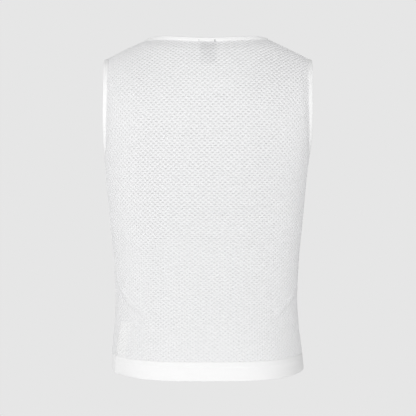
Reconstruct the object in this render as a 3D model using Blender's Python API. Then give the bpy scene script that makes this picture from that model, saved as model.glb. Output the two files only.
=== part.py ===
"""A sleeveless base layer, hollow and filled out as it is when worn.

Two net panels, back and front, meet at the side seams and over the shoulders.
A narrow binding finishes the neck and each armhole, a plain band finishes the hem,
and two blank labels lie inside.

Sizes are in millimetres. Height is measured up from the hem, x runs to the wearer's
left, and the wearer faces -Y. The finished meshes are in metres, with the origin
midway between the two high shoulder points, where the wearer's shoulders carry it.
"""

import math
from collections import namedtuple
from functools import lru_cache

import bmesh
import bpy
from mathutils import Vector

METRES = 0.001

# --- driving sizes, mm ---
LENGTH = 577.5              # hem to high shoulder point
NECK_HALF_WIDTH = 102.0     # centre to high shoulder point
SHOULDER_SLOPE = 0.481      # fall of the shoulder line for each mm outwards
UNDERARM = 381.0            # height of the lowest point of the armholes
BINDING_WIDTH = 8.0
HEM_CENTRE = 31.5           # height of the hem band at the centre back and front
HEM_SIDE = 29.0             # and at the side seams
PANEL_WALL = 1.5
TRIM_PROUD = 0.4            # bindings and band stand this far out of the panels' faces
SEAM_GAP = 0.3
LABEL_WALL = 0.8
LABEL_CLEARANCE = 0.4       # between a label and the bindings or band that it passes

# --- how finely each piece is divided ---
NECK_COLUMNS = 9            # from the centre to the high shoulder point
SHOULDER_COLUMNS = 5        # from there to the armhole
COLUMNS = NECK_COLUMNS + SHOULDER_COLUMNS
TORSO_ROWS = 20             # hem band to underarm
YOKE_ROWS = 15              # underarm to neck and shoulders
SECTION_STEPS = 240         # used to divide a section evenly
SIDE_CROWDING = 1.2         # above 1, the columns crowd towards the side seams
ON_SEAM = 0.01              # nearer than this to the seam plane, a point is on the seam
SLOPE_STEP = 0.5            # the form's slope is measured this far to each side
SETTLING_ROUNDS = 4
MATCHING_ROUNDS = 12
CREASE_ANGLE = 50.0         # degrees; a sharper edge is shaded as an edge

# The garment's level sections. Flatness squares the back and front, roundness rounds
# the sides, and sway moves the whole section towards the wearer's left.
# Above the underarm a section goes on past the armhole, which is cut out of it.
Section = namedtuple("Section", "height half_width back front flatness roundness sway")
SECTIONS = [
    Section(0.0, 167.0, 120.0, 106.0, 3.4, 1.36, 0.0),
    Section(35.0, 165.6, 116.5, 105.0, 3.1, 1.50, 2.0),
    Section(79.0, 160.8, 109.0, 103.0, 2.85, 1.66, 2.7),
    Section(122.0, 158.4, 104.5, 102.0, 2.7, 1.78, 2.7),
    Section(168.0, 159.9, 105.0, 103.0, 2.6, 1.88, 2.9),
    Section(212.0, 163.2, 108.5, 106.0, 2.55, 1.96, 3.0),
    Section(255.0, 167.6, 112.5, 110.0, 2.5, 2.04, 3.0),
    Section(301.0, 172.0, 116.5, 114.0, 2.45, 2.10, 3.0),
    Section(345.0, 176.1, 119.5, 117.5, 2.4, 2.16, 2.9),
    Section(381.0, 180.0, 121.0, 119.0, 2.4, 2.20, 1.3),
    Section(400.0, 183.0, 121.5, 119.0, 2.4, 2.20, 0.6),
    Section(440.0, 192.0, 121.5, 117.5, 2.4, 2.20, 0.5),
    Section(480.0, 200.0, 119.0, 114.0, 2.4, 2.20, 0.3),
    Section(520.0, 206.0, 114.0, 110.0, 2.4, 2.20, 0.0),
    Section(602.0, 211.0, 104.0, 103.0, 2.4, 2.20, 0.0),
]

# Where the armholes are cut, as distances from the centre.
Armhole = namedtuple("Armhole", "height back front")
ARMHOLE = [
    Armhole(381.0, 180.0, 180.0),
    Armhole(405.0, 179.8, 177.4),
    Armhole(440.0, 178.6, 173.5),
    Armhole(480.0, 178.4, 173.0),
    Armhole(515.0, 179.6, 176.0),
    Armhole(539.0, 181.2, 181.2),
]
SHOULDER_TIP = ARMHOLE[-1].height

# A point inside each opening, clear of its edge, that bindings and panels keep away from.
NECK_CENTRE = Vector((0.0, 0.0, LENGTH + 30.0))
ARMHOLE_CENTRE = Vector((ARMHOLE[0].back + 20.0, 0.0, (UNDERARM + SHOULDER_TIP) / 2))

# Back and front: which way the face looks, its columns in the tables, how far below
# the shoulder line the cloth turns down, and the depth and shape of the neckline.
Face = namedtuple("Face", "name side shoulder_turn neck_drop neck_power")
BACK = Face("back", 1, 150.0, 9.5, 1.8)
FRONT = Face("front", -1, 170.0, 84.0, 0.8)

# The waist creases: soft ridges with a trough along their lower side. Each runs
# through three points, given as a distance from the centre and a height.
Crease = namedtuple("Crease", "face side start middle end rise width")
CREASES = [
    Crease("back", 1, (149.0, 143.0), (136.0, 122.0), (110.0, 99.0), 3.2, 7.0),
    Crease("back", 1, (143.0, 147.0), (135.0, 138.0), (127.0, 130.0), 1.6, 6.0),
    Crease("back", -1, (146.0, 129.0), (139.0, 117.0), (127.0, 106.0), 2.8, 6.5),
    Crease("back", -1, (136.0, 135.0), (131.0, 129.0), (125.0, 124.0), 1.3, 5.5),
    Crease("front", 1, (145.0, 137.0), (132.0, 121.0), (112.0, 108.0), 2.6, 7.0),
    Crease("front", -1, (147.0, 140.0), (133.0, 119.0), (115.0, 103.0), 3.0, 6.5),
    Crease("front", -1, (140.0, 147.0), (131.0, 139.0), (122.0, 134.0), 1.4, 6.0),
]
TROUGH_SHARE = 0.6          # depth of a trough against its ridge
TROUGH_BELOW = 1.5          # how far below, in ridge widths

# Labels lie on the inner face of the back, out of the bindings' and band's way.
Label = namedtuple("Label", "name top_x top_height foot_x foot_height width")
LABELS = [
    Label("neck_label", 0.0, 564.5, 0.0, 520.0, 27.0),
    Label("care_label", 134.5, 89.0, 146.5, 20.0, 27.0),
]
LABEL_INSET = PANEL_WALL + TRIM_PROUD + LABEL_CLEARANCE
LABEL_ROWS = 8
LABEL_COLUMNS = 6

NET_WHITE = (0.94, 0.94, 0.94, 1.0)
BINDING_WHITE = (0.95, 0.95, 0.95, 1.0)
HEM_WHITE = (0.92, 0.92, 0.92, 1.0)
LABEL_GREY = (0.74, 0.74, 0.75, 1.0)
LABEL_WHITE = (0.95, 0.95, 0.95, 1.0)
CLOTH_ROUGHNESS = 0.85


# --- reading the tables ---
def smooth_value(rows, column, height):
    """Read a column between its rows, along a smooth curve."""
    heights = [row.height for row in rows]
    height = min(max(height, heights[0]), heights[-1])
    index = max(i for i in range(len(rows) - 1) if heights[i] <= height)
    values = [getattr(row, column) for row in rows]

    def slope(i):
        low, high = max(i - 1, 0), min(i + 1, len(rows) - 1)
        return (values[high] - values[low]) / (heights[high] - heights[low])

    span = heights[index + 1] - heights[index]
    part = (height - heights[index]) / span
    start, end = values[index], values[index + 1]
    return (start * (1 + 2 * part) * (1 - part) ** 2
            + slope(index) * span * part * (1 - part) ** 2
            + end * part * part * (3 - 2 * part)
            - slope(index + 1) * span * part * part * (1 - part))


@lru_cache(maxsize=None)
def section_at(height):
    return Section(height, *(smooth_value(SECTIONS, column, height)
                             for column in Section._fields[1:]))


# --- the form that the cloth lies on ---
def shoulder_line(x):
    """Height of the ridge over the shoulders and, between them, of the neck's foot."""
    outwards = abs(x) - NECK_HALF_WIDTH
    if outwards >= 0:
        return LENGTH - SHOULDER_SLOPE * outwards
    rise = SHOULDER_SLOPE * NECK_HALF_WIDTH / 2
    return LENGTH + rise * (1 - (x / NECK_HALF_WIDTH) ** 2)


def turn_share(face, x, height):
    """0 on the shoulder ridge, 1 where the cloth hangs clear of the turn over it."""
    part = (shoulder_line(x) - height) / face.shoulder_turn
    return 1 - (1 - min(max(part, 0.0), 1.0)) ** 2


def depth_at(face, x, height):
    """Distance of the outer face from the seam plane."""
    section = section_at(height)
    across = min(abs(x) / section.half_width, 1.0)
    fullness = (1 - across ** section.flatness) ** (1 / section.roundness)
    return getattr(section, face.name) * fullness * math.sqrt(turn_share(face, x, height))


def on_form(face, x, height):
    return Vector((x, face.side * depth_at(face, x, height), height))


def level(face, point):
    """Zero on the outer face, positive inside the garment, negative outside."""
    section = section_at(point.z)
    across = min(abs(point.x) / section.half_width, 1.0)
    fullness = (1 - across ** section.flatness) ** (2 / section.roundness)
    across_depth = point.y / getattr(section, face.name)
    return fullness * turn_share(face, point.x, point.z) - across_depth ** 2


def level_slope(face, point):
    """How the level changes for each millimetre along each axis."""
    steps = [Vector(axis) * SLOPE_STEP for axis in ((1, 0, 0), (0, 1, 0), (0, 0, 1))]
    return Vector([level(face, point + step) - level(face, point - step)
                   for step in steps]) / (2 * SLOPE_STEP)


def outward(face, point):
    """The outward direction. On a seam it lies in the seam plane."""
    slope = -level_slope(face, point)
    if abs(point.y) < ON_SEAM:
        slope.y = 0.0
    return slope.normalized()


def settled(face, point):
    """The point moved straight out or in until it lies on the form."""
    for _ in range(SETTLING_ROUNDS):
        slope = level_slope(face, point)
        point = point - slope * (level(face, point) / slope.length_squared)
    return point


# --- lines on the form, for x >= 0; the other half mirrors them ---
def armhole_line(face):
    """The armhole's finished edge, from the underarm up to the shoulder."""
    middle, half = (UNDERARM + SHOULDER_TIP) / 2, (SHOULDER_TIP - UNDERARM) / 2
    points = []
    for row in range(YOKE_ROWS + 1):
        height = middle - half * math.cos(math.pi * row / YOKE_ROWS)
        points.append(on_form(face, smooth_value(ARMHOLE, face.name, height), height))
    points[0].y = points[-1].y = 0.0
    points[-1].z = shoulder_line(points[-1].x)
    return points


def neck_line(face):
    """The neck's finished edge, from the centre out to the high shoulder point."""
    points = []
    for column in range(NECK_COLUMNS + 1):
        part = math.sin(math.pi / 2 * column / NECK_COLUMNS)
        drop = face.neck_drop * (1 - part ** 2) ** face.neck_power
        points.append(on_form(face, NECK_HALF_WIDTH * part, LENGTH - drop))
    points[-1].y = 0.0
    return points


def moved_line(face, line, distance, opening_centre):
    """The line moved over the cloth, away from its opening."""
    moved = []
    for index, point in enumerate(line):
        on_seam = abs(point.y) < ON_SEAM
        ahead, behind = line[min(index + 1, len(line) - 1)], line[max(index - 1, 0)]
        run = Vector((0, 1, 0)) if on_seam else ahead - behind
        if point.x == 0.0:
            run = Vector((1, 0, 0))
        across = outward(face, point).cross(run).normalized()
        if across.dot(point - opening_centre) < 0:
            across.negate()
        target = settled(face, point + across * distance)
        if on_seam:
            target.y = 0.0
        if point.x == 0.0:
            target.x = 0.0
        moved.append(target)
    return moved


def section_line(face, height_of):
    """A level line from the centre to the side seam, evenly divided.

    height_of gives the height for a share of the depth, 1 at the centre, 0 at the seam.
    """
    fine = []
    for step in range(SECTION_STEPS + 1):
        part = math.sin(math.pi / 2 * step / SECTION_STEPS)
        height = height_of(math.cos(math.pi / 2 * step / SECTION_STEPS))
        fine.append(on_form(face, part * section_at(height).half_width, height))
    fine[-1].y = 0.0
    lengths = [0.0]
    for before, after in zip(fine, fine[1:]):
        lengths.append(lengths[-1] + (after - before).length)
    line = []
    for column in range(COLUMNS + 1):
        share = 1 - (1 - column / COLUMNS) ** SIDE_CROWDING
        target = share * lengths[-1]
        index = next((i for i in range(SECTION_STEPS) if lengths[i + 1] >= target),
                     SECTION_STEPS - 1)
        part = (target - lengths[index]) / (lengths[index + 1] - lengths[index])
        line.append(fine[index].lerp(fine[index + 1], part))
    return line


# --- the panels' points ---
def turn_angle(face, drop):
    """A length that grows evenly over the shoulder turn and down the cloth below it."""
    if drop >= face.shoulder_turn:
        return face.shoulder_turn * (math.pi / 2 - 1) + drop
    return face.shoulder_turn * math.acos(1 - max(drop, 0.0) / face.shoulder_turn)


def turn_drop(face, length):
    """The drop below the shoulder line at such a length."""
    if length >= face.shoulder_turn * math.pi / 2:
        return length - face.shoulder_turn * (math.pi / 2 - 1)
    return face.shoulder_turn * (1 - math.cos(length / face.shoulder_turn))


def to_plan(face, point):
    """Two coordinates that stay even where the cloth turns over a side or shoulder."""
    section = section_at(point.z)
    across = min(abs(point.x) / section.half_width, 1.0)
    return Vector((math.asin(across ** (section.flatness / 2)),
                   turn_angle(face, shoulder_line(point.x) - point.z)))


def from_plan(face, plan, height):
    """The point with these coordinates, found from a height close to it."""
    drop = turn_drop(face, plan.y)
    x = 0.0
    for _ in range(MATCHING_ROUNDS):
        section = section_at(height)
        x = section.half_width * math.sin(plan.x) ** (2 / section.flatness)
        height = shoulder_line(x) - drop
    return on_form(face, x, height)


def yoke_rows(face, foot):
    """Rows from the underarm up to the neck and shoulders, inside their bindings."""
    reach = BINDING_WIDTH + SEAM_GAP
    side = moved_line(face, armhole_line(face), reach, ARMHOLE_CENTRE)
    top = moved_line(face, neck_line(face), reach, NECK_CENTRE)
    inner, outer = top[-1].x, side[-1].x
    for column in range(1, SHOULDER_COLUMNS + 1):
        x = inner + (outer - inner) * column / SHOULDER_COLUMNS
        top.append(Vector((x, 0.0, shoulder_line(x))))
    centre = [on_form(face, 0.0, foot[0].z + (top[0].z - foot[0].z) * row / YOKE_ROWS)
              for row in range(YOKE_ROWS + 1)]

    plans = [[to_plan(face, point) for point in line] for line in (foot, top, centre, side)]
    foot_plan, top_plan, centre_plan, side_plan = plans
    rows = []
    for row in range(1, YOKE_ROWS):
        up = row / YOKE_ROWS
        points = [centre[row]]
        for column in range(1, COLUMNS):
            out = column / COLUMNS
            corners = ((foot_plan[0] * (1 - out) + foot_plan[-1] * out) * (1 - up)
                       + (top_plan[0] * (1 - out) + top_plan[-1] * out) * up)
            plan = (foot_plan[column] * (1 - up) + top_plan[column] * up
                    + centre_plan[row] * (1 - out) + side_plan[row] * out - corners)
            points.append(from_plan(face, plan, centre[row].z))
        rows.append(points + [side[row]])
    return rows + [top]


def hem_height(depth_share):
    return HEM_SIDE + (HEM_CENTRE - HEM_SIDE) * depth_share


def panel_half(face):
    """Rows of points from the hem band up, each from the centre to the side."""
    seam_top = UNDERARM - BINDING_WIDTH - SEAM_GAP
    rows = []
    for row in range(TORSO_ROWS + 1):
        up = row / TORSO_ROWS
        rows.append(section_line(face, lambda share: (hem_height(share) + SEAM_GAP) * (1 - up)
                                 + seam_top * up))
    return rows + yoke_rows(face, rows[-1])


# --- creases ---
def crease_profile(crease, x, height):
    """How far one crease lifts the cloth at this place."""
    place = Vector((x, height))
    best = None
    for start, end in ((crease.start, crease.middle), (crease.middle, crease.end)):
        start, run = Vector(start), Vector(end) - Vector(start)
        part = min(max((place - start).dot(run) / run.length_squared, 0.0), 1.0)
        away = place - start - run * part
        along = Vector((-run.y, run.x)).normalized()
        if best is None or away.length < best[0].length:
            best = (away, along if along.y > 0 else -along)
    away, upward = best
    offset = away.dot(upward)
    past_end = math.sqrt(max(away.length_squared - offset ** 2, 0.0))
    fade = math.exp(-(past_end / crease.width) ** 2)
    ridge = math.exp(-(offset / crease.width) ** 2)
    trough = math.exp(-((offset / crease.width + TROUGH_BELOW)) ** 2)
    return crease.rise * fade * (ridge - TROUGH_SHARE * trough)


def crease_lift(face, x, height):
    return sum(crease_profile(crease, abs(x), height) for crease in CREASES
               if crease.face == face.name and crease.side * x > 0)


# --- solids ---
def both_halves(face, half):
    """A row for both sides, from the wearer's right to left, with creases and normals."""
    row = []
    for index in range(-(len(half) - 1), len(half)):
        point = half[abs(index)].copy()
        normal = outward(face, point)
        if index < 0:
            point.x, normal.x = -point.x, -normal.x
        point += normal * crease_lift(face, point.x, point.z)
        point.y += face.side * SEAM_GAP / 2
        row.append((point, normal))
    return row


def to_model(point):
    """A point of the form, with its section's sway, in the finished mesh's metres."""
    sway = smooth_value(SECTIONS, "sway", point.z)
    return Vector((point.x + sway, point.y, point.z - LENGTH)) * METRES


def cloth_material(name, colour):
    material = bpy.data.materials.new(name)
    material.use_nodes = True
    shader = material.node_tree.nodes["Principled BSDF"]
    shader.inputs["Base Color"].default_value = colour
    shader.inputs["Roughness"].default_value = CLOTH_ROUGHNESS
    shader.inputs["Metallic"].default_value = 0.0
    return material


def cap_end(shape, loop):
    """Close an end by joining the loop's outer side to its inner side, step by step."""
    low, high = 0, len(loop) - 1
    while high - low > 1:
        corners = [loop[low], loop[low + 1], loop[high - 1], loop[high]]
        if low + 1 == high - 1:
            corners.pop(1)
        shape.faces.new(corners)
        low, high = low + 1, high - 1


def make_object(name, rings, closed_along, colour):
    """A solid skinned over rings, each a closed loop round the piece's wall.

    The rings follow each other along the piece, in a loop if closed_along, and
    otherwise with a cap over each end.
    """
    shape = bmesh.new()
    loops = [[shape.verts.new(to_model(point)) for point in ring] for ring in rings]
    pairs = list(zip(loops, loops[1:]))
    if closed_along:
        pairs.append((loops[-1], loops[0]))
    for here, ahead in pairs:
        for index in range(len(here)):
            after = (index + 1) % len(here)
            shape.faces.new((here[index], here[after], ahead[after], ahead[index]))
    if not closed_along:
        for loop in (loops[0], loops[-1]):
            cap_end(shape, loop)
    bmesh.ops.triangulate(shape, faces=shape.faces)
    bmesh.ops.recalc_face_normals(shape, faces=shape.faces)
    mesh = bpy.data.meshes.new(name)
    shape.to_mesh(mesh)
    shape.free()
    mesh.shade_smooth()
    mesh.set_sharp_from_angle(angle=math.radians(CREASE_ANGLE))
    mesh.materials.append(cloth_material(name, colour))
    piece = bpy.data.objects.new(name, mesh)
    bpy.context.scene.collection.objects.link(piece)
    return piece


def wall_ring(row, outer, inner):
    """A row's outer points, then its inner points back again."""
    return ([point + normal * outer for point, normal in row]
            + [point - normal * inner for point, normal in reversed(row)])


def make_panel(face):
    rows = [both_halves(face, half) for half in panel_half(face)]
    rings = [wall_ring(row, 0.0, PANEL_WALL) for row in rows]
    return make_object(face.name + "_panel", rings, False, NET_WHITE)


def make_hem_band(face):
    """A folded band: full below the panel, with a rounded fold at the hem."""
    fold = (TRIM_PROUD + PANEL_WALL + TRIM_PROUD) / 2
    lines = [section_line(face, lambda share: 0.0),
             section_line(face, lambda share: fold),
             section_line(face, lambda share: hem_height(share) / 2),
             section_line(face, hem_height)]
    foot, low, middle, top = (both_halves(face, line) for line in lines)
    rings = []
    for column in range(len(foot)):
        outer = [point + normal * TRIM_PROUD
                 for point, normal in (top[column], middle[column], low[column])]
        inner = [point - normal * (PANEL_WALL + TRIM_PROUD)
                 for point, normal in (low[column], middle[column], top[column])]
        point, normal = foot[column]
        rings.append(outer + [point - normal * PANEL_WALL / 2] + inner)
    return make_object("hem_band_" + face.name, rings, False, HEM_WHITE)


def binding_ring(stop, finish, stop_normal, finish_normal):
    """The binding's profile at one place: a folded strip with a rounded finished edge."""
    wall = PANEL_WALL + 2 * TRIM_PROUD
    share = 1 - wall / 2 / BINDING_WIDTH
    shoulder = stop.lerp(finish, share)
    normal = stop_normal.lerp(finish_normal, share).normalized()
    return [stop + stop_normal * TRIM_PROUD,
            shoulder + normal * TRIM_PROUD,
            finish - finish_normal * PANEL_WALL / 2,
            shoulder - normal * (PANEL_WALL + TRIM_PROUD),
            stop - stop_normal * (PANEL_WALL + TRIM_PROUD)]


def half_binding(face, line, centre):
    """Profiles along one face's share of an opening."""
    stop = moved_line(face, line, BINDING_WIDTH, centre)
    return [binding_ring(inner, outer, outward(face, inner), outward(face, outer))
            for inner, outer in zip(stop, line)]


def mirrored(ring):
    return [Vector((-point.x, point.y, point.z)) for point in ring]


def make_neck_binding():
    rings = []
    for face in (BACK, FRONT):
        half = half_binding(face, neck_line(face), NECK_CENTRE)
        there = half[::-1] + [mirrored(ring) for ring in half[1:]]
        if face is FRONT:
            there = there[::-1][1:-1]
        rings += there
    return make_object("neck_binding", rings, True, BINDING_WHITE)


def make_armhole_binding(name, side):
    up = half_binding(BACK, armhole_line(BACK), ARMHOLE_CENTRE)
    down = half_binding(FRONT, armhole_line(FRONT), ARMHOLE_CENTRE)[::-1]
    rings = up + down[1:-1]
    if side < 0:
        rings = [mirrored(ring) for ring in rings]
    return make_object(name, rings, True, BINDING_WHITE)


def make_label(label, colour):
    """A blank strip against the inner face of the back."""
    rows = []
    for index in range(LABEL_ROWS + 1):
        down = index / LABEL_ROWS
        height = label.top_height + (label.foot_height - label.top_height) * down
        middle = on_form(BACK, label.top_x + (label.foot_x - label.top_x) * down, height)
        sideways = outward(BACK, middle).cross(Vector((0, 0, 1))).normalized()
        row = []
        for column in range(LABEL_COLUMNS + 1):
            across = label.width * (column / LABEL_COLUMNS - 0.5)
            point = settled(BACK, middle + sideways * across)
            normal = outward(BACK, point)
            point += normal * crease_lift(BACK, point.x, point.z)
            row.append((point - normal * LABEL_INSET, normal))
        rows.append(row)
    return make_object(label.name, [wall_ring(row, 0.0, LABEL_WALL) for row in rows],
                       False, colour)


def main():
    for item in list(bpy.data.objects):
        bpy.data.objects.remove(item, do_unlink=True)
    for face in (BACK, FRONT):
        make_panel(face)
        make_hem_band(face)
    make_neck_binding()
    make_armhole_binding("armhole_binding_left", 1)
    make_armhole_binding("armhole_binding_right", -1)
    for label, colour in zip(LABELS, (LABEL_GREY, LABEL_WHITE)):
        make_label(label, colour)


main()
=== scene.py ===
# %% [markdown]
# # A sleeveless base layer in white net
#
# The real garment is two panels of light knitted net, sewn at the sides and over the
# shoulders. A folded elastic binding finishes the neck and each armhole, and a folded
# band finishes the hem. It is shown hollow, filled out as it is when worn.
#
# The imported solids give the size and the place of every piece. Here each one is made
# again as cloth: the net gets its real holes, the trims their folds and stitches.

# %% Load the solids that fix every size and place
import math
from collections import namedtuple

import bmesh
import bpy
import numpy as np
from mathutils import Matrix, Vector


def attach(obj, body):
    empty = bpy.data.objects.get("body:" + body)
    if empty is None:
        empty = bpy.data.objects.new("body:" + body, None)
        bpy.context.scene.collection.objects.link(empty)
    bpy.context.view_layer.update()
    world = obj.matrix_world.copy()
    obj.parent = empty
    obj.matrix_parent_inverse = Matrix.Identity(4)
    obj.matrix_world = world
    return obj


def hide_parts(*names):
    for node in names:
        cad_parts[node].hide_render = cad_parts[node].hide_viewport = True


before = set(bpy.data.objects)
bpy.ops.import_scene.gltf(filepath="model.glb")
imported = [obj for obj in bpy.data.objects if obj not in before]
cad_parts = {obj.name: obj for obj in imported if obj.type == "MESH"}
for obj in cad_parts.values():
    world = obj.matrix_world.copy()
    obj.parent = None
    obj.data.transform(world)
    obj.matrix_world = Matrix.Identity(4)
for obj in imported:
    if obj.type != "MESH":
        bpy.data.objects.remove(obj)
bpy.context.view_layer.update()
print("solids:", ", ".join(sorted(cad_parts)))

# %% [markdown]
# ## Sizes
#
# All sizes are in millimetres, and height is measured up from the hem. They are the
# sizes that the solids were made from, repeated here because the scene reads nothing but
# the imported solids. Keeping them as a few names and short tables, and not as a list of
# points, means that one change moves everything that hangs on it.

# %% The garment's own sizes
LENGTH = 577.5              # hem to high shoulder point
NECK_HALF_WIDTH = 102.0
SHOULDER_SLOPE = 0.481
UNDERARM = 381.0
BINDING_WIDTH = 8.0
HEM_CENTRE = 31.5
HEM_SIDE = 29.0
SEAM_GAP = 0.3
ON_SEAM = 0.01              # nearer than this to the seam plane, a point is on the seam

Section = namedtuple("Section", "height half_width back front flatness roundness sway")
SECTIONS = [
    Section(0.0, 167.0, 120.0, 106.0, 3.4, 1.36, 0.0),
    Section(35.0, 165.6, 116.5, 105.0, 3.1, 1.50, 2.0),
    Section(79.0, 160.8, 109.0, 103.0, 2.85, 1.66, 2.7),
    Section(122.0, 158.4, 104.5, 102.0, 2.7, 1.78, 2.7),
    Section(168.0, 159.9, 105.0, 103.0, 2.6, 1.88, 2.9),
    Section(212.0, 163.2, 108.5, 106.0, 2.55, 1.96, 3.0),
    Section(255.0, 167.6, 112.5, 110.0, 2.5, 2.04, 3.0),
    Section(301.0, 172.0, 116.5, 114.0, 2.45, 2.10, 3.0),
    Section(345.0, 176.1, 119.5, 117.5, 2.4, 2.16, 2.9),
    Section(381.0, 180.0, 121.0, 119.0, 2.4, 2.20, 1.3),
    Section(400.0, 183.0, 121.5, 119.0, 2.4, 2.20, 0.6),
    Section(440.0, 192.0, 121.5, 117.5, 2.4, 2.20, 0.5),
    Section(480.0, 200.0, 119.0, 114.0, 2.4, 2.20, 0.3),
    Section(520.0, 206.0, 114.0, 110.0, 2.4, 2.20, 0.0),
    Section(602.0, 211.0, 104.0, 103.0, 2.4, 2.20, 0.0),
]

Armhole = namedtuple("Armhole", "height back front")
ARMHOLE = [
    Armhole(381.0, 180.0, 180.0),
    Armhole(405.0, 179.8, 177.4),
    Armhole(440.0, 178.6, 173.5),
    Armhole(480.0, 178.4, 173.0),
    Armhole(515.0, 179.6, 176.0),
    Armhole(539.0, 181.2, 181.2),
]
SHOULDER_TIP = ARMHOLE[-1].height
NECK_CENTRE = np.array((0.0, 0.0, LENGTH + 30.0))
ARMHOLE_CENTRE = np.array((ARMHOLE[0].back + 20.0, 0.0, (UNDERARM + SHOULDER_TIP) / 2))

Face = namedtuple("Face", "name side shoulder_turn neck_drop neck_power")
BACK = Face("back", 1, 150.0, 9.5, 1.8)
FRONT = Face("front", -1, 170.0, 84.0, 0.8)
chest = max(row.half_width for row in SECTIONS if row.height <= UNDERARM)
print(f"{LENGTH:.0f} mm long, {2 * chest:.0f} mm across the chest")

# %% [markdown]
# ## The form that the cloth lies on
#
# Worn cloth has no flat places: it takes a level section of the body and turns over the
# shoulders. A sculpted mesh would do, but a rule is easier to read and to change. Each
# level section is a squared oval from the table, and near the shoulder ridge its depth
# closes like the end of a barrel. NumPy works out thousands of points at once.


# %% Read a table along a smooth curve
def column(rows, name, height):
    """A column of a table at any heights, smooth from row to row."""
    heights = np.array([row.height for row in rows])
    values = np.array([getattr(row, name) for row in rows])
    low, high = np.arange(-1, len(rows) - 1).clip(0), np.arange(1, len(rows) + 1)
    high = high.clip(max=len(rows) - 1)
    slopes = (values[high] - values[low]) / (heights[high] - heights[low])
    height = np.clip(height, heights[0], heights[-1])
    row = np.clip(np.searchsorted(heights, height, side="right") - 1, 0, len(rows) - 2)
    span = heights[row + 1] - heights[row]
    part = (height - heights[row]) / span
    return (values[row] * (1 + 2 * part) * (1 - part) ** 2
            + slopes[row] * span * part * (1 - part) ** 2
            + values[row + 1] * part * part * (3 - 2 * part)
            - slopes[row + 1] * span * part * part * (1 - part))


print("half width at the waist:", round(float(column(SECTIONS, "half_width", 122.0)), 1))


# %% The depth of the form, and points on it
def shoulder_line(x):
    outwards = np.abs(x) - NECK_HALF_WIDTH
    inside = SHOULDER_SLOPE * NECK_HALF_WIDTH / 2 * (1 - (x / NECK_HALF_WIDTH) ** 2)
    return LENGTH + np.where(outwards >= 0, -SHOULDER_SLOPE * outwards, inside)


def turn_share(face, x, height):
    part = np.clip((shoulder_line(x) - height) / face.shoulder_turn, 0, 1)
    return 1 - (1 - part) ** 2


def fullness(x, height):
    across = np.clip(np.abs(x) / column(SECTIONS, "half_width", height), 0, 1)
    squared = 1 - across ** column(SECTIONS, "flatness", height)
    return np.maximum(squared, 0) ** (1 / column(SECTIONS, "roundness", height))


def on_form(face, x, height):
    """Points on the outer face: x to the wearer's left, y to the back, then height."""
    x, height = np.broadcast_arrays(np.asarray(x, float), np.asarray(height, float))
    depth = (column(SECTIONS, face.name, height) * fullness(x, height)
             * np.sqrt(turn_share(face, x, height)))
    return np.stack((x, face.side * depth, height), -1)


print("depth at the middle of the back:", on_form(BACK, 0, 300.0).round(1))


# %% Outward directions, and a way back onto the form
SLOPE_STEP = 0.5            # millimetres to either side of a point
SETTLING_ROUNDS = 4         # enough to bring a nearby point onto the form


def level(face, points):
    """Zero on the outer face, positive inside the garment, negative outside."""
    x, y, height = points[..., 0], points[..., 1], points[..., 2]
    share = y / column(SECTIONS, face.name, height)
    return fullness(x, height) ** 2 * turn_share(face, x, height) - share ** 2


def level_slope(face, points):
    return np.stack([(level(face, points + step) - level(face, points - step))
                     / (2 * SLOPE_STEP) for step in np.eye(3) * SLOPE_STEP], -1)


def unit(vectors):
    return vectors / np.linalg.norm(vectors, axis=-1, keepdims=True)


def outward(face, points):
    slope = -level_slope(face, points)
    slope[..., 1] = np.where(np.abs(points[..., 1]) < ON_SEAM, 0, slope[..., 1])
    return unit(slope)


def settled(face, points):
    for _ in range(SETTLING_ROUNDS):
        slope = level_slope(face, points)
        points = points - slope * (level(face, points)
                                   / (slope ** 2).sum(-1))[..., None]
    return points


def to_model(points):
    """Points of the form, with their section's sway, in the model's metres."""
    sway = column(SECTIONS, "sway", points[..., 2])
    return np.stack((points[..., 0] + sway, points[..., 1],
                     points[..., 2] - LENGTH), -1) / 1000


print("outward at the side seam:", outward(BACK, np.array([[165.0, 0.0, 240.0]])).round(2))


# %% [markdown]
# ## Edges of the openings
#
# A binding, a seam and the edge of a panel all run beside the same finished edge, some
# millimetres in from it. So one function gives the edge and another moves it over the
# cloth. The move is square to the edge and settles back onto the form, so that an 8 mm
# binding measures 8 mm over the cloth, also where it turns over the shoulder.

# %% The finished edges and lines beside them
EDGE_STEPS = 72             # samples along each face's half of an opening


def armhole_line(face):
    middle, half = (UNDERARM + SHOULDER_TIP) / 2, (SHOULDER_TIP - UNDERARM) / 2
    height = middle - half * np.cos(np.linspace(0, math.pi, EDGE_STEPS + 1))
    line = on_form(face, column(ARMHOLE, face.name, height), height)
    line[[0, -1], 1] = 0
    line[-1, 2] = shoulder_line(line[-1, 0])
    return line


def neck_line(face):
    part = np.sin(np.linspace(0, math.pi / 2, EDGE_STEPS + 1))
    drop = face.neck_drop * np.maximum(1 - part ** 2, 0) ** face.neck_power
    line = on_form(face, NECK_HALF_WIDTH * part, LENGTH - drop)
    line[-1, 1] = 0
    return line


def moved(face, line, distance, opening_centre):
    """The line moved over the cloth, away from its opening."""
    on_seam, at_centre = np.abs(line[:, 1]) < ON_SEAM, line[:, 0] == 0
    padded = np.concatenate((line[:1], line, line[-1:]))
    run = padded[2:] - padded[:-2]
    run[on_seam] = (0, 1, 0)
    run[at_centre] = (1, 0, 0)
    across = unit(np.cross(outward(face, line), run))
    across *= np.where((across * (line - opening_centre)).sum(-1) < 0, -1, 1)[:, None]
    target = settled(face, line + across * distance)
    target[on_seam, 1] = 0
    target[at_centre, 0] = 0
    return target


for edge in (armhole_line, neck_line):
    run = np.linalg.norm(np.diff(edge(BACK), axis=0), axis=1).sum()
    print(edge.__name__, f"on the back: {run:.0f} mm")

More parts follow.
